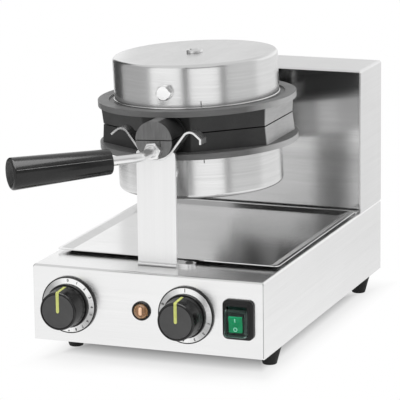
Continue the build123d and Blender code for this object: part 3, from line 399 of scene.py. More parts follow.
makeFinishes({"surface": grainSurface, "skin": mouldSkin, "grain": 900.0,
              "rough": (0.4, 0.5), "depth": 0.00005, "bump": 0.1}, {
    "gripPlastic": {"tones": (0.005, 0.008), "rough": (0.18, 0.24), "grain": 500.0,
                    "bump": 0.08, "Specular IOR Level": 0.40, "Coat Weight": 0.1},
    "wornPlastic": {  # the grip's parting line, painted lighter as a highlight
        "tones": (0.20, 0.30), "rough": (0.3, 0.4), "grain": 300.0},
    "knobPlastic": {"tones": (0.003, 0.006), "rough": (0.20, 0.28), "grain": 1500.0,
                    "Specular IOR Level": 0.45},
    "knobFace": {"tones": (0.040, 0.050), "rough": (0.42, 0.50), "grain": 1800.0},
    "dialPlastic": {"tones": (0.003, 0.005), "rough": (0.24, 0.32), "grain": 1500.0,
                    "Specular IOR Level": 0.35},
    "switchPlastic": {"tones": (0.005, 0.009), "rough": (0.34, 0.44), "grain": 1800.0,
                      "bump": 0.15, "Specular IOR Level": 0.35},
    "footRubber": {"tones": (0.008, 0.016), "rough": (0.62, 0.8), "depth": 0.0002,
                   "bump": 0.5, "Specular IOR Level": 0.4},
    "regulatorCase": {"tones": ((0.30, 0.27, 0.21), (0.38, 0.35, 0.28)),
                      "rough": (0.55, 0.65), "bump": 0.2},
    "terminalWhite": {"tones": ((0.707, 0.70, 0.693), (0.7878, 0.78, 0.7722)),
                      "bump": 0.15},
    "rockerGreen": {"tones": ((0.0, 0.27, 0.12), (0.0, 0.36, 0.17)), "grain": 1200.0,
                    "Specular IOR Level": 0.1},
    "printGrey": {"tones": (0.02, 0.04), "rough": (0.5, 0.6)},
    "pointerLime": {"tones": ((0.64, 0.68, 0.18), (0.74, 0.78, 0.25))},
    "markWhite": {"tones": ((0.85, 0.95, 0.90), (0.90, 0.98, 0.94))},
    "lampCup": {"tones": ((0.28, 0.20, 0.12), (0.42, 0.31, 0.20)), "rough": (0.3, 0.4),
                "bump": 0.2},
    # pale and glowing: a painted highlight seen through the dome
    "lampBulb": {"tones": ((0.90, 0.74, 0.66), (0.95, 0.84, 0.78)), "rough": (0.2, 0.3),
                 "bump": 0.05, "Emission Color": (1.0, 0.78, 0.66, 1.0),
                 "Emission Strength": 0.5},
})
makeFinishes({"surface": grainSurface, "skin": mouldSkin}, {  # clear, so with no rough
    "lampAmber": {"tones": ((0.58, 0.42, 0.28), (0.68, 0.50, 0.35)), "grain": 700.0,
                  "Transmission Weight": 0.9, "IOR": 1.35, "Roughness": 0.12},
    "clearCover": {"tones": ((0.50, 0.82, 0.72), (0.60, 0.90, 0.80)), "grain": 300.0,
                   "Transmission Weight": 1.0, "IOR": 1.25, "Roughness": 0.03},
})
print("finishes made", len(finishes))


# Finishes of the CAD nodes
nodeFinishes = {
    "baseSteel": ["base_housing"],
    "columnSteel": ["column_cover"],
    "panelSteel": ["column_front_panel", "column_rear_panel"],
    "traySteel": ["drip_tray"],
    "coverSteel": [f"{half}_cover" for half in halves],
    "castPlate": [f"{half}_plate" for half in halves],
    "bracketSteel": ["support_bracket"],
    "cradleSteel": ["support_cradle"],
    "rodSteel": ["handle_rod", "handle_nut"],
    "boltSteel": [f"{half}_{piece}" for half in halves
                  for piece in ("cover_stud", "cover_nut", "side_bolt")]
                 + ["hinge_pins", "bracket_screws", "column_screws", "rear_panel_screws",
                    "base_plate_screws", "foot_fasteners", "bearing_screws"],
    "shaftSteel": ["rear_shaft", "shaft_collar", "temperature_spindle", "timer_spindle"],
    "plateZinc": ["base_plate"],
    "zincSheet": ["shaft_support"] + [f"{half}_heater_clamps" for half in halves],
    "castIron": ["bearing_housing"],
    "bronze": ["bearing_bush"],
    "heaterSheath": [f"{half}_heater" for half in halves],
    "fibrePad": [f"{half}_insulation" for half in halves],
    "gripPlastic": ["handle_grip"],
    "knobPlastic": ["temperature_knob", "timer_knob"],
    "dialPlastic": ["temperature_dial", "timer_dial", "lamp_bezel"],
    "switchPlastic": ["switch_housing", "switch_cover", "cable_gland", "gland_nut"],
    "footRubber": [f"foot_{row}_{side}" for row in ("front", "rear")
                   for side in ("left", "right")],
    "regulatorCase": ["thermostat", "timer_mechanism"],
    "terminalWhite": ["terminal_block"],
    "rockerGreen": ["switch_rocker", "lamp_lens"],
}


def dress(name, material):
    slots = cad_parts[name].data.materials
    for number in range(len(slots)):
        slots[number] = material
    if not len(slots):
        slots.append(material)


undressed = set(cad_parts)
for finish, names in nodeFinishes.items():
    for name in names:
        dress(name, finishes[finish])
        undressed.remove(name)
print("nodes dressed, left over:", sorted(undressed))


# Modelling steps that the pieces share
def setMode(mode):
    bpy.ops.object.mode_set(mode=mode)


def clearSelection():
    if bpy.context.object and bpy.context.object.mode != "OBJECT":
        setMode("OBJECT")
    bpy.ops.object.select_all(action="DESELECT")


def selectPieces(*pieces):  # the first one is active
    clearSelection()
    for piece in pieces:
        piece.select_set(True)
    bpy.context.view_layer.objects.active = pieces[0]


def nameAdded(name):
    bpy.context.object.name = name
    return bpy.context.object


def editAll():  # starts edit mode with everything selected
    setMode("EDIT")
    bpy.ops.mesh.select_all(action="SELECT")


def pickFaces(piece, way, least=0.9):  # selects faces in edit mode by the way they face
    shape = bmesh.from_edit_mesh(piece.data)
    bpy.ops.mesh.select_mode(type="FACE")
    turned = piece.matrix_world.to_3x3()
    for face in shape.faces:
        face.select_set((turned @ face.normal).dot(way) > least)
    bmesh.update_edit_mesh(piece.data)


def pickEdges(piece, test):  # selects edges in edit mode by their two ends
    shape = bmesh.from_edit_mesh(piece.data)
    bpy.ops.mesh.select_mode(type="EDGE")
    for edge in shape.edges:
        edge.select_set(test(*(piece.matrix_world @ vertex.co for vertex in edge.verts)))
    bmesh.update_edit_mesh(piece.data)


def extrude(move):
    bpy.ops.mesh.extrude_region_move(TRANSFORM_OT_translate={"value": move})


def growOut(distance):  # extrudes what is selected out of the front wall
    extrude(outward * distance * mm)


def turnPiece(name, start, along, steps, sides=96):  # a turned shape, grown ring by ring
    clearSelection()
    along = Vector(along).normalized()
    reach, radius = steps[0]
    bpy.ops.mesh.primitive_circle_add(
        vertices=sides, radius=radius * mm, fill_type="NGON",
        location=Vector(start) + along * reach * mm,
        rotation=along.to_track_quat("Z", "Y").to_euler(),
    )
    piece = nameAdded(name)
    editAll()
    for nextReach, nextRadius in steps[1:]:
        extrude(along * (nextReach - reach) * mm)
        bpy.ops.transform.resize(value=(nextRadius / radius,) * 3)
        reach, radius = nextReach, nextRadius
    setMode("OBJECT")
    return piece


def addBar(name, middle, size, rotation=(0, 0, 0)):  # a bar that is shaped further on
    clearSelection()
    bpy.ops.mesh.primitive_cube_add(size=1.0, location=middle, rotation=rotation)
    piece = nameAdded(name)
    piece.scale = [length * mm for length in size]
    bpy.ops.object.transform_apply(location=False, rotation=False, scale=True)
    return piece


def addRing(name, middle, radius, thick, rotation, sides):
    clearSelection()
    bpy.ops.mesh.primitive_torus_add(
        major_radius=radius * mm, minor_radius=thick * mm, major_segments=sides,
        minor_segments=8, location=middle, rotation=rotation)
    return nameAdded(name)


def applyModifier(piece, kind, **settings):
    selectPieces(piece)
    bpy.ops.object.modifier_add(type=kind)
    modifier = piece.modifiers[-1]
    for key, value in settings.items():
        setattr(modifier, key, value)
    bpy.ops.object.modifier_apply(modifier=modifier.name)


def bevelPiece(piece, width, segments, angle=35):
    applyModifier(piece, "BEVEL", width=width * mm, segments=segments,
                  limit_method="ANGLE", angle_limit=math.radians(angle))


def joinPieces(name, pieces):
    selectPieces(*pieces)
    bpy.ops.object.join()
    return nameAdded(name)


def finishPiece(piece, finish, body, replaced=(), angle=35):
    selectPieces(piece)
    bpy.ops.object.transform_apply(location=True, rotation=True, scale=True)
    editAll()
    bpy.ops.mesh.remove_doubles(threshold=0.001 * mm)
    bpy.ops.mesh.normals_make_consistent(inside=False)
    setMode("OBJECT")
    bpy.ops.object.shade_smooth_by_angle(angle=math.radians(angle))
    piece.data.materials.clear()
    piece.data.materials.append(finishes[finish])
    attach(piece, body)
    if replaced:
        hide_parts(*replaced)


def addText(name, words, look, middle, rotation):
    clearSelection()
    bpy.ops.object.text_add(location=(0, 0, 0))
    text = nameAdded(name)
    text.data.body = words
    text.data.size = look["height"] * mm
    text.data.align_x, text.data.align_y = "CENTER", "CENTER"
    text.data.extrude, text.data.offset = look["depth"] * mm, look["bold"] * mm
    bpy.ops.object.convert(target="MESH")
    text.location, text.rotation_euler = middle, rotation
    bpy.ops.object.transform_apply(location=True, rotation=True, scale=True)
    return text


def hexHead(name, start, along, look):  # a bolt head or nut with chamfered corners
    across, height, face = look["across"], look["height"], look["face"]
    piece = turnPiece(name, start, along,
                      ((0, across), (height, across), (height, face), *look["end"]),
                      sides=48)
    aside = along.orthogonal().normalized()
    above = along.cross(aside)
    sixth = math.radians(60)
    for vertex in piece.data.vertices:
        away = piece.matrix_world @ vertex.co - start
        reach = away.dot(along)
        away -= along * reach
        if abs(away.length - across * mm) > near:
            continue
        around = math.atan2(away.dot(above), away.dot(aside)) + math.radians(look["turn"])
        outline = across / math.cos((around + sixth / 2) % sixth - sixth / 2)
        drop = (outline - face) / 2 if reach > height * mm / 2 else 0.0
        place = (start + away.normalized() * outline * mm + along * reach
                 - along * drop * mm)
        vertex.co = piece.matrix_world.inverted() @ place
    return piece


def faceTurn(clock):  # turns something drawn in XY to face the front, clockwise by clock
    return (Matrix.Rotation(math.radians(clock), 3, "Y")
            @ Matrix.Rotation(math.radians(90), 3, "X")).to_euler()


# Dials: a black rim, a silver scale and its marks
dial = {
    "rim": ((0, 29.2), (0.3, 29.5), (2.9, 29.5), (3.35, 29.3), (3.5, 29.0), (3.45, 28.7),
            (3.2, 28.5), (3.0, 28.4)),
    "scale": ((2.6, 28.35), (3.15, 28.35), (3.3, 28.1)),
    # the silver scale's spun streaks, with a painted reflection in fans across it
    "silver": {"surface": spunSurface, "tones": (0.42, 0.92), "rough": (0.34, 0.26),
               "fan": (0.45, 0, 0.9), "fine": 20.0, "depth": 0.00002, "bump": 0.2,
               "Metallic": 1.0},
    "markRadius": 25.9,
    "markOut": 3.32,
    "print": {"height": 4.0, "depth": 0.05, "bold": 0.12},
    "tickSize": (0.7, 0.08, 4.2),
}
controls = {  # marks and ticks with their places on the dial, in degrees from the top
    "temperature": {
        "x": -85.0,
        "marks": {"0": 0, "1": 22.5, "2": 45, "3": 67.5, "4": 90, "5": 108, "6": 126,
                  "7": 144, "8": 162, "9": 180, "10": 202, "11": 224},
        "ticks": (),
    },
    "timer": {
        "x": 42.5,
        "marks": {"1": 104, "2": 131, "3": 158, "4": 185, "5": 212, "6": 239, "7": 266,
                  "8": 293},
        "ticks": (0,),
    },
}
controlHeight = 62.5
wallFront = -195.0


def frontPoint(x, out, up=0.0):  # millimetres out of the front wall and above the controls
    return Vector((x, wallFront - out, controlHeight + up)) * mm


def makeDial(name, control):
    silver = f"{name}Silver"
    makeFinishes(dial["silver"], {silver: {"middle": (control["x"], controlHeight)}})
    middle = frontPoint(control["x"], 0)
    rim = turnPiece(f"{name}DialRim", middle, outward, dial["rim"])
    finishPiece(rim, "dialPlastic", "base", [f"{name}_dial"], 40)
    scale = turnPiece(f"{name}DialScale", middle, outward, dial["scale"])
    finishPiece(scale, silver, "base", angle=40)

    def scalePoint(around):
        return frontPoint(control["x"] + dial["markRadius"] * math.sin(around),
                          dial["markOut"], dial["markRadius"] * math.cos(around))

    marks = [
        addText(f"{name}Mark", words, dial["print"], scalePoint(math.radians(clock)),
                faceTurn(clock))
        for words, clock in control["marks"].items()
    ] + [
        addBar(f"{name}Tick", scalePoint(around), dial["tickSize"], (0, around, 0))
        for around in map(math.radians, control["ticks"])
    ]
    marks = joinPieces(f"{name}DialMarks", marks)
    finishPiece(marks, "printGrey", "base")


# Knobs: skirt, cone and face, with a pale pointer let into them
knob = {
    "back": 4.1,  # out of the front wall
    "shape": ((0, 22.3), (0.35, 22.8), (2.7, 22.8), (3.15, 22.5), (3.3, 22.1), (3.3, 21.8),
              (3.0, 21.5), (3.3, 21.3), (24.3, 19.8), (25.2, 19.5), (25.75, 19.0),
              (25.9, 18.5), (25.7, 18.1), (25.1, 17.9), (25.1, 17.5), (25.6, 17.2)),
    "coneStart": 7,  # the steps of the shape where the cone starts and ends
    "coneEnd": 8,
    "rimTop": 11,  # and the one that stands out furthest
    "pointerWidth": 3.2,
    "pointerSides": 20,
    "pointerProud": 0.35,
    "pointerSunk": 1.2,
    "pointerShort": 0.6,  # of the cone's front edge, on the face
    "pointerBend": (0.5, 0.1),  # past that edge, where it turns down the cone
    "pointerBack": 7.0,
}


def makeKnob(name, control):
    middle = frontPoint(control["x"], knob["back"])
    body = turnPiece(f"{name}Knob", middle, outward, knob["shape"], sides=128)
    finishPiece(body, "knobPlastic", f"{name}_control",
                [f"{name}_knob"], 28)
    body.data.materials.append(finishes["knobFace"])
    faceAt = wallFront - knob["back"] - knob["shape"][-1][0]
    for face in body.data.polygons:
        if abs(face.center.y - faceAt * mm) < near:
            face.material_index = 1
    (backOut, backRadius), (frontOut, frontRadius) = (
        knob["shape"][knob[step]] for step in ("coneStart", "coneEnd"))
    topOut = knob["shape"][knob["rimTop"]][0]
    share = (knob["pointerBack"] - backOut) / (frontOut - backOut)
    endRadius = backRadius + (frontRadius - backRadius) * share
    bendOut, bendUp = knob["pointerBend"]
    path = (  # along the pointer: out of the knob's back and up from the middle
        (topOut, 0.0), (topOut, frontRadius - knob["pointerShort"]),
        (frontOut + bendOut, frontRadius + bendUp), (knob["pointerBack"], endRadius),
    )
    clearSelection()
    bpy.ops.mesh.primitive_circle_add(
        vertices=knob["pointerSides"], radius=knob["pointerWidth"] / 2 * mm,
        fill_type="NGON",
        location=middle + outward * (topOut - knob["pointerSunk"]) * mm,
        rotation=(math.radians(90), 0, 0))
    pointer = nameAdded(f"{name}Pointer")
    editAll()
    growOut(knob["pointerSunk"] + knob["pointerProud"])
    bpy.ops.mesh.select_all(action="SELECT")
    bpy.ops.mesh.bisect(plane_co=pointer.location, plane_no=(0, 0, 1), use_fill=True,
                        clear_outer=True)
    for (out, up), (nextOut, nextUp) in zip(path, path[1:]):
        extrude((0, (out - nextOut) * mm, (nextUp - up) * mm))
    setMode("OBJECT")
    finishPiece(pointer, "pointerLime", f"{name}_control", angle=30)


for controlName, control in controls.items():
    makeDial(controlName, control)
    makeKnob(controlName, control)
print("dials and knobs made")


# Pilot lamp: black bezel, a bulb in its cup and the amber dome over them; the bulb's pale
# glow is a painted highlight in the dome
lamp = {
    "x": -6.0,
    "bezel": ((0, 9.6), (0.3, 9.9), (1.7, 9.9), (2.3, 9.5), (2.6, 8.9), (2.5, 8.3),
              (1.9, 7.9), (0.5, 7.8)),
    "cup": ((0.3, 7.4), (1.6, 7.2), (1.3, 6.4), (0.8, 5.0), (0.6, 2.0)),
    "bulb": ((0, 0.7), (0.35, 1.2), (1.0, 1.5), (6.4, 1.5), (7.0, 1.2), (7.4, 0.6)),
    "bulbOut": 2.9,
    "dome": ((0.8, 7.6), (2.4, 7.5), (3.8, 7.0), (5.0, 6.0), (5.8, 4.6), (6.3, 3.0),
             (6.5, 1.2)),
}


def makeLamp():
    middle = frontPoint(lamp["x"], 0)
    bezel = turnPiece("lampBezel", middle, outward, lamp["bezel"], sides=64)
    finishPiece(bezel, "dialPlastic", "base", ["lamp_bezel"], 50)
    cup = turnPiece("lampCup", middle, outward, lamp["cup"], sides=48)
    finishPiece(cup, "lampCup", "base", angle=50)
    bulbFoot = frontPoint(lamp["x"], lamp["bulbOut"], -lamp["bulb"][-1][0] / 2)
    bulb = turnPiece("lampBulb", bulbFoot, (0, 0, 1), lamp["bulb"], sides=24)
    finishPiece(bulb, "lampBulb", "base", angle=60)
    dome = turnPiece("lampDome", middle, outward, lamp["dome"], sides=64)
    finishPiece(dome, "lampAmber", "base", ["lamp_lens"], 60)


makeLamp()
print("lamp made")


# Rocker switch: soft black bezel, green rocker with its marks and a clear splash cover.
# Bevels here and below: width, segments and the least angle of an edge
switch = {
    "x": 98.5,
    "bezelSize": (32.4, 3.0, 40.6),
    "bezelCorner": 5.6,
    "bezelStep": 1.0,  # its front stands out a step further, a little smaller
    "bezelTaper": (0.96, 1.0, 0.97),
    "bezelBevel": (0.8, 3, 40),
    "collarInset": 2.6,  # the raised collar that holds the clear cover
    "collarRise": 3.4,
    "collarTaper": 0.93,
    "collarLip": 1.5,
    "windowDepth": 5.0,
    "rockerSize": (14.2, 16.4),
    "rockerTilt": 7.0,
    "rockerReach": 16.6,
    "rockerDip": 1.0,
    "rockerDrop": 1.0,
    "rockerBevel": (0.7, 3, 20),
    "skirtSize": (14.6, 17.0),
    "skirtShort": 1.4,
    "skirtBevel": (0.6, 3),
    "pivotBehind": 5.0,
    "coverSize": (25.2, 11.2, 31.4),
    "coverCorner": 3.0,
    "coverFoot": 3.0,
    "coverMiddle": -1.5,  # above the middle of the controls
    "coverFront": (0.86, 1.0, 0.85),
    "coverDrop": 0.8,
    "coverBevel": (1.1, 4, 40),
    "coverWall": 0.8,
    "markOn": (1.0, 0.5, 3.8),
    "markBevel": (0.06, 2),
    "markOff": (1.7, 0.45),
    "markPlace": 0.29,  # part of the rocker's height from its middle
}


def roundedBox(name, middle, size, corner):  # rounded as seen from the front
    box = addBar(name, middle, size)
    setMode("EDIT")
    pickEdges(box, lambda a, b: abs((b - a).normalized().y) > 0.99)
    bpy.ops.mesh.bevel(offset=corner * mm, segments=8, affect="EDGES")
    setMode("OBJECT")
    return box


def makeSwitchBezel():
    size = switch["bezelSize"]
    bezel = roundedBox("switchBezel", frontPoint(switch["x"], size[1] / 2), size,
                       switch["bezelCorner"])
    setMode("EDIT")
    pickFaces(bezel, outward)
    growOut(switch["bezelStep"])
    bpy.ops.transform.resize(value=switch["bezelTaper"])
    bpy.ops.mesh.inset(thickness=switch["collarInset"] * mm)
    growOut(switch["collarRise"])
    bpy.ops.transform.resize(value=(switch["collarTaper"],) * 3)
    bpy.ops.mesh.inset(thickness=switch["collarLip"] * mm)
    growOut(-switch["windowDepth"])
    setMode("OBJECT")
    bevelPiece(bezel, *switch["bezelBevel"])
    finishPiece(bezel, "switchPlastic", "base", ["switch_housing"], 35)


def makeRocker():
    tiltBack = math.radians(switch["rockerTilt"])
    inward = Vector((0, math.cos(tiltBack), math.sin(tiltBack)))
    upward = Vector((0, -math.sin(tiltBack), math.cos(tiltBack)))
    pivot = frontPoint(switch["x"], -switch["pivotBehind"])
    middle = pivot - upward * switch["rockerDrop"] * mm
    width, height = switch["rockerSize"]
    reach, dip = switch["rockerReach"], switch["rockerDip"]

    def addBlock(name, width, height, reach):  # stands out from the middle
        return addBar(name, middle - inward * (reach / 2) * mm, (width, reach, height),
                      (tiltBack, 0, 0))

    def markPlace(side):  # where a mark goes on the upper or lower half, and its turn
        up = side * height * switch["markPlace"]
        out = reach - dip * (1 - abs(up) / (height / 2))
        lean = side * math.atan2(dip, height / 2)
        return middle + (upward * up - inward * out) * mm, tiltBack + lean

    rocker = addBlock("switchRocker", width, height, reach)
    editAll()
    bpy.ops.mesh.bisect(plane_co=middle, plane_no=upward, use_fill=False)
    pickEdges(rocker, lambda *ends: all(
        abs((end - middle).dot(upward)) < near
        and (end - middle).dot(inward) < -reach / 2 * mm for end in ends))
    bpy.ops.transform.translate(value=inward * dip * mm)
    setMode("OBJECT")
    bevelPiece(rocker, *switch["rockerBevel"])
    finishPiece(rocker, "rockerGreen", "power_rocker",
                ["switch_rocker"], 30)
    skirt = addBlock("switchSkirt", *switch["skirtSize"],
                     reach - dip - switch["skirtShort"])
    bevelPiece(skirt, *switch["skirtBevel"])
    finishPiece(skirt, "switchPlastic", "power_rocker", angle=30)

    at, turn = markPlace(1)
    markOn = addBar("switchMarkOn", at, switch["markOn"], (turn, 0, 0))
    bevelPiece(markOn, *switch["markBevel"])
    at, turn = markPlace(-1)
    markOff = addRing("switchMarkOff", at, *switch["markOff"],
                      (turn + math.radians(90), 0, 0), sides=32)
    marks = joinPieces("switchMarks", [markOn, markOff])
    finishPiece(marks, "markWhite", "power_rocker")


def makeSplashCover():
    size = switch["coverSize"]
    middle = frontPoint(switch["x"], switch["coverFoot"] + size[1] / 2,
                        switch["coverMiddle"])
    cover = roundedBox("switchCover", middle, size, switch["coverCorner"])
    setMode("EDIT")
    pickFaces(cover, outward)
    bpy.ops.transform.resize(value=switch["coverFront"])
    bpy.ops.transform.translate(value=(0, 0, -switch["coverDrop"] * mm))
    pickFaces(cover, -outward)
    bpy.ops.mesh.delete(type="FACE")
    setMode("OBJECT")
    bevelPiece(cover, *switch["coverBevel"])
    applyModifier(cover, "SOLIDIFY", thickness=switch["coverWall"] * mm, offset=-1.0)
    finishPiece(cover, "clearCover", "base", ["switch_cover"], 35)


makeSwitchBezel()
makeRocker()
makeSplashCover()
print("switch made")


# Handle grip: turned, with a raised parting line along it
grip = {
    "bend": (0, -164.0, -10.0),  # where the axes of rod and grip meet, in the head's frame
    "heading": 41.9,
    "shape": ((30.2, 5.4), (30.2, 11.0), (30.5, 11.9), (31.2, 12.4), (32.2, 12.7),
              (130.6, 16.2), (131.7, 16.15), (132.5, 15.8), (133.3, 15.0), (133.7, 14.0),
              (133.6, 13.2)),
    "sides": 120,
    "taperStart": 4,  # the steps of the shape between which it widens evenly
    "taperEnd": 5,
    "lineUp": 21.0,
    "lineSize": (98.6, 0.55, 0.5),
    "lineMiddle": (81.4, 14.5),  # along the grip's axis and away from it
    "lineBevel": (0.12, 2),
}


def headPoint(x, y, h):  # millimetres in the head's own leaning frame
    return headOrigin + headTurn @ (Vector((x, y, h)) * mm)


def makeGrip():
    bend = headPoint(*grip["bend"])
    heading = math.radians(grip["heading"])
    along = headTurn @ Vector((-math.cos(heading), -math.sin(heading), 0))
    body = turnPiece("handleGrip", bend, along, grip["shape"], grip["sides"])
    finishPiece(body, "gripPlastic", "head", ["handle_grip"], 32)
    side = along.cross(headUp).normalized()
    if side.y > 0:
        side = -side
    lift = Matrix.Rotation(math.radians(grip["lineUp"]), 3, side.cross(Vector((0, 0, 1))))
    line = (lift @ side).normalized()
    reach, out = grip["lineMiddle"]
    middle = bend + (along * reach + line * out) * mm
    (start, thin), (end, thick) = (
        grip["shape"][grip[step]] for step in ("taperStart", "taperEnd"))
    along = (along + line * (thick - thin) / (end - start)).normalized()
    up = line - along * line.dot(along)
    turn = Matrix((along, up.cross(along), up)).transposed().to_euler()
    # the parting line's lighter plastic is a painted highlight
    ridge = addBar("gripLine", middle, grip["lineSize"], turn)
    bevelPiece(ridge, *grip["lineBevel"])
    finishPiece(ridge, "wornPlastic", "head")


makeGrip()
print("grip made")


# Bolts and nuts on the covers and the handle, and the bracket's screws
fastener = {
    "sideBolt": {"across": 7.2, "height": 6.4, "face": 7.0, "end": ((6.55, 6.7),),
                 "turn": 12.0},
    "sideWasher": ((0, 7.6), (0.2, 7.9), (1.1, 7.9), (1.3, 7.6)),
    "washerThick": 1.25,
    "sideHeight": 42.0,
    "coverRadius": 86.0,
    "cap": ((0, 8.3), (0.3, 8.6), (1.7, 8.5), (2.6, 8.1), (3.1, 7.3), (3.3, 6.3),
            (3.0, 5.8), (2.9, 5.0), (3.2, 4.7), (3.9, 4.4), (4.2, 3.9), (4.3, 3.2)),
    "capHeight": 69.0,
    "handleNut": {"across": 8.05, "height": 7.0, "face": 7.4,
                  "end": ((7.1, 6.2), (6.9, 5.4)), "turn": 8.0},
    "nutPlace": (0, -125.0, -10.0),
    "pan": ((0, 3.8), (0.3, 4.0), (0.7, 3.8), (1.1, 3.0), (1.3, 1.8)),
    "panCross": (4.0, 0.7, 0.5),
    "crossUp": 1.15,
    "crossTurn": 0.4,  # radians
    "crossBevel": (0.1, 2),
    "bracketScrews": ((30.0, -153.0), (-12.0, -151.0), (12.0, -151.0)),
    "bracketTop": 105.0,
}


def makeFasteners():
    for half, (body, side) in halves.items():
        at = headPoint(0, -fastener["coverRadius"], side * fastener["sideHeight"])
        washer = turnPiece(f"{half}BoltWasher", at, outward, fastener["sideWasher"],
                           sides=48)
        head = hexHead(f"{half}BoltHead", at + outward * fastener["washerThick"] * mm,
                       outward, fastener["sideBolt"])
        bolt = joinPieces(f"{half}SideBolt", [head, washer])
        finishPiece(bolt, "brightBolt", body, [f"{half}_side_bolt"], 25)
        cap = turnPiece(f"{half}CapNut", headPoint(0, 0, side * fastener["capHeight"]),
                        headUp * side, fastener["cap"], sides=64)
        finishPiece(cap, "boltSteel", body, [f"{half}_cover_nut"], 40)
    heads = []
    for x, y in fastener["bracketScrews"]:
        at = Vector((x, y, fastener["bracketTop"])) * mm
        heads.append(turnPiece("bracketScrew", at, (0, 0, 1), fastener["pan"], sides=40))
        for turn in (0.0, math.pi / 2):
            cross = addBar("screwCross", at + Vector((0, 0, fastener["crossUp"])) * mm,
                           fastener["panCross"], (0, 0, fastener["crossTurn"] + turn))
            bevelPiece(cross, *fastener["crossBevel"])
            heads.append(cross)
    heads = joinPieces("bracketScrewHeads", heads)
    finishPiece(heads, "seamShadow", "base", ["bracket_screws"], 40)
    nut = hexHead("handleNut", headPoint(*fastener["nutPlace"]), outward,
                  fastener["handleNut"])
    finishPiece(nut, "rodSteel", "head", ["handle_nut"], 25)


makeFasteners()
print("bolts and nuts made")


# Folded strip that closes the gap between tray and column
columnStrip = {"low": (-121.5, 114.6, 102.0), "high": (121.5, 119.7, 104.4),
               "bevel": (0.8, 3)}


def makeColumnStrip():
    low, high = Vector(columnStrip["low"]), Vector(columnStrip["high"])
    strip = addBar("columnStrip", (low + high) / 2 * mm, high - low)
    bevelPiece(strip, *columnStrip["bevel"])
    finishPiece(strip, "baseSteel", "base")


# Rolled lower edges of the covers, which dip into the flanges' grooves
hem = {
    "radius": 86.3,
    "thick": 0.6,
    "level": 25.2,
    "skirt": 1.5,  # how far the faces that look down are drawn out
    "lookDown": 0.7,  # part of their normal that points down
}


def makeHems():
    for half, (body, side) in halves.items():
        away = headUp * side
        ring = addRing(f"{half}CoverHem", headPoint(0, 0, side * hem["level"]),
                       hem["radius"], hem["thick"], away.to_track_quat("Z", "Y").to_euler(),
                       sides=144)
        setMode("EDIT")
        pickFaces(ring, -away, hem["lookDown"])
        bpy.ops.transform.translate(value=-away * hem["skirt"] * mm)
        setMode("OBJECT")
        finishPiece(ring, "coverSteel", body)


# Folded right corner of the base: a fine dark line there, painted shade on the right side
# only
seam = {"inset": 0.75, "size": (0.5, 0.06, 76.8), "middle": 62.6, "bevel": (0.025, 2)}


def makeSeam():
    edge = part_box("base_housing")[1][0]
    line = addBar("baseSeam",
                  (edge - seam["inset"] * mm, wallFront * mm, seam["middle"] * mm),
                  seam["size"])
    bevelPiece(line, *seam["bevel"])
    finishPiece(line, "seamShadow", "base")


makeColumnStrip()
makeHems()
makeSeam()
print("strip and seams made")


# Rubber feet: flared cones with a sunk middle
foot = {
    "x": 107.5,
    "rows": {"front": -130.0, "rear": 168.0},
    "shape": ((9.0, 4.9), (0.3, 5.0), (0.0, 5.3), (0.0, 6.8), (0.25, 7.2), (0.8, 7.5),
              (8.0, 9.4), (15.0, 11.3), (19.5, 12.7), (21.8, 13.35), (22.6, 13.4),
              (23.0, 13.1)),
}


def makeFeet():
    for row, y in foot["rows"].items():
        for side, x in (("left", -foot["x"]), ("right", foot["x"])):
            rubber = turnPiece(f"{row}{side.title()}Foot", Vector((x, y, 0)) * mm,
                               (0, 0, 1), foot["shape"], sides=64)
            finishPiece(rubber, "footRubber", "base",
                        [f"foot_{row}_{side}"], 45)


makeFeet()
print("feet made")


# Floor and light
studio = {
    "floorSize": 12.0,
    "floorColour": 0.93,
    "shadowColour": 0.12,  # under the base, where hardly any light gets
    "shadowSqueeze": 2.3,  # the shadow is that much narrower along the sides
    "deepShadow": (-0.093, -0.030),  # from and to, past the base's outline
    "deepShare": 0.68,
    "faintShadow": (-0.045, 0.035),
    "faintShare": 0.32,
    "worldLevel": 0.50,  # as the diffuse surfaces see it
    "horizonLevel": 1.05,  # as metal and glass see it
    "zenithLevel": 0.75,
    "horizonEnds": 0.25,  # upward part of the direction
    "zenithStarts": 0.70,
    "floorFront": 1.04,  # how light metal and glass see the floor, in front and behind
    "floorRear": 0.86,
    "floorRun": 0.40,
    "cardDistance": 0.80,
    "lampsAim": (0, -0.02, 0.18),
}
softboxes = {  # place, size and power
    "overhead": ((-0.15, -0.45, 1.5), 1.1, 13.0),
    "leftFront": ((-1.1, -1.5, 0.9), 0.9, 3.0),
    "glint": ((-0.05, -0.42, 1.3), 1.3, 24.0),
}
glintPieces = ("handleGrip", "temperatureKnob", "timerKnob", "temperatureDialRim",
               "timerDialRim", "lampBezel", "lampDome")
cards = {  # bearing right of the front, from and to, how light, and some bottoms and tops
    "leftBlack": (-130, -94, 0.06),
    "leftGrey": (-94, -40, 0.45),
    "frontNarrow": (3, 11, 0.10),
    "frontUpper": (12, 56, 0.42, 0.34, 0.75),
    "rightNarrow": (50, 58, 0.25),
    "rightGrey": (57, 107, 0.66),
    "rearGrey": (-176, -150, 0.80),
}


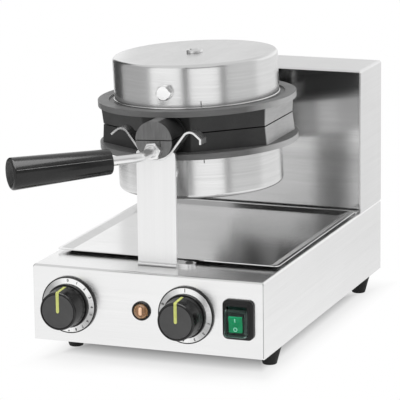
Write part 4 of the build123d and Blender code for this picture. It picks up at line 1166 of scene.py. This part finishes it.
def makeFloor():
    clearSelection()
    bpy.ops.mesh.primitive_plane_add(size=studio["floorSize"], location=(0, 0, 0))
    floor = nameAdded("floor")
    material, tree = newMaterial("floorWhite")
    place = placeNode(tree)
    folded = axisNode(tree, vectorNode(tree, "ABSOLUTE", place)["Vector"])
    aside, along = (mathNode(tree, "SUBTRACT", folded[axis], edge)
                    for axis, edge in zip("XY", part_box("base_housing")[1]))
    past = mathNode(tree, "MAXIMUM",
                    mathNode(tree, "MULTIPLY", aside, studio["shadowSqueeze"]), along)
    plain = mathNode(tree, "ADD", *(
        rangeNode(tree, past, *studio[f"{kind}Shadow"], 0.0, studio[f"{kind}Share"])
        for kind in ("deep", "faint")))
    shade = colourRamp(tree, rangeNode(tree, past, *studio["deepShadow"]),
                       (studio["shadowColour"], studio["floorColour"]))
    diffuse = addNode(tree, "ShaderNodeBsdfDiffuse", {"Color": shade})
    mirrored = rangeNode(tree, axisNode(tree, place)["Y"], -studio["floorRun"],
                         studio["floorRun"], studio["floorFront"], studio["floorRear"])
    camera = rayNode(tree, "Camera")
    notCamera = mathNode(tree, "SUBTRACT", 1.0, camera)
    level = mathNode(tree, "ADD", camera, mathNode(tree, "MULTIPLY", mirrored, notCamera))
    glow = addNode(tree, "ShaderNodeEmission", {"Strength": level})
    seen = mathNode(tree, "MAXIMUM", camera, mirrorRays(tree))
    shown = mixShaders(tree, mathNode(tree, "MULTIPLY", plain, seen),
                       diffuse.outputs["BSDF"], glow.outputs["Emission"])
    addNode(tree, "ShaderNodeOutputMaterial", {"Surface": shown})
    floor.data.materials.append(material)


def makeWorld():
    world = bpy.data.worlds.new("studio")
    bpy.context.scene.world = world
    tree = emptyTree(world)
    up = axisNode(tree, placeNode(tree, "Generated"))["Z"]
    level = rangeNode(tree, up, studio["horizonEnds"], studio["zenithStarts"],
                      studio["horizonLevel"], studio["zenithLevel"])
    soft, mirrored, white = (
        addNode(tree, "ShaderNodeBackground",
                {"Color": paint(1.0), "Strength": strength}).outputs["Background"]
        for strength in (studio["worldLevel"], level, 1.0))
    shown = mixShaders(tree, mirrorRays(tree), soft, mirrored)
    shown = mixShaders(tree, rayNode(tree, "Camera"), shown, white)
    addNode(tree, "ShaderNodeOutputWorld", {"Surface": shown})


def addSoftbox(name, place, size, power):
    light = bpy.data.lights.new(f"{name}Softbox", "AREA")
    light.shape = "SQUARE"
    light.size = size
    light.energy = power
    softbox = bpy.data.objects.new(light.name, light)
    bpy.context.scene.collection.objects.link(softbox)
    softbox.location = place
    aim = Vector(studio["lampsAim"]) - Vector(place)
    softbox.rotation_euler = aim.to_track_quat("-Z", "Y").to_euler()
    return softbox


def addCard(name, start, end, level, bottom=0.0, top=0.9):  # only metal and gloss show it
    bearing = math.radians((start + end) / 2)
    reach = studio["cardDistance"]
    clearSelection()
    bpy.ops.mesh.primitive_plane_add(
        size=1.0, rotation=(math.radians(90), 0, bearing),
        location=(reach * math.sin(bearing), -reach * math.cos(bearing),
                  (bottom + top) / 2),
    )
    card = nameAdded(f"{name}Card")
    card.scale = (2 * reach * math.tan(math.radians(end - start) / 2), top - bottom, 1)
    material, tree = newMaterial(card.name)
    glow = addNode(tree, "ShaderNodeEmission", {"Color": paint(level)})
    addNode(tree, "ShaderNodeOutputMaterial", {"Surface": glow.outputs["Emission"]})
    card.data.materials.append(material)
    card.visible_camera = card.visible_diffuse = card.visible_shadow = False
    card.visible_transmission = card.visible_volume_scatter = False


makeFloor()
makeWorld()
for name, settings in softboxes.items():
    softbox = addSoftbox(name, *settings)
    softbox.visible_glossy = name == "glint"
    if name == "glint":  # a highlight on the black mouldings alone
        lit = softbox.light_linking.receiver_collection = bpy.data.collections.new(
            "blackMouldings")
        for piece in glintPieces:
            lit.objects.link(bpy.data.objects[piece])
for name, settings in cards.items():
    addCard(name, *settings)
print("studio ready")
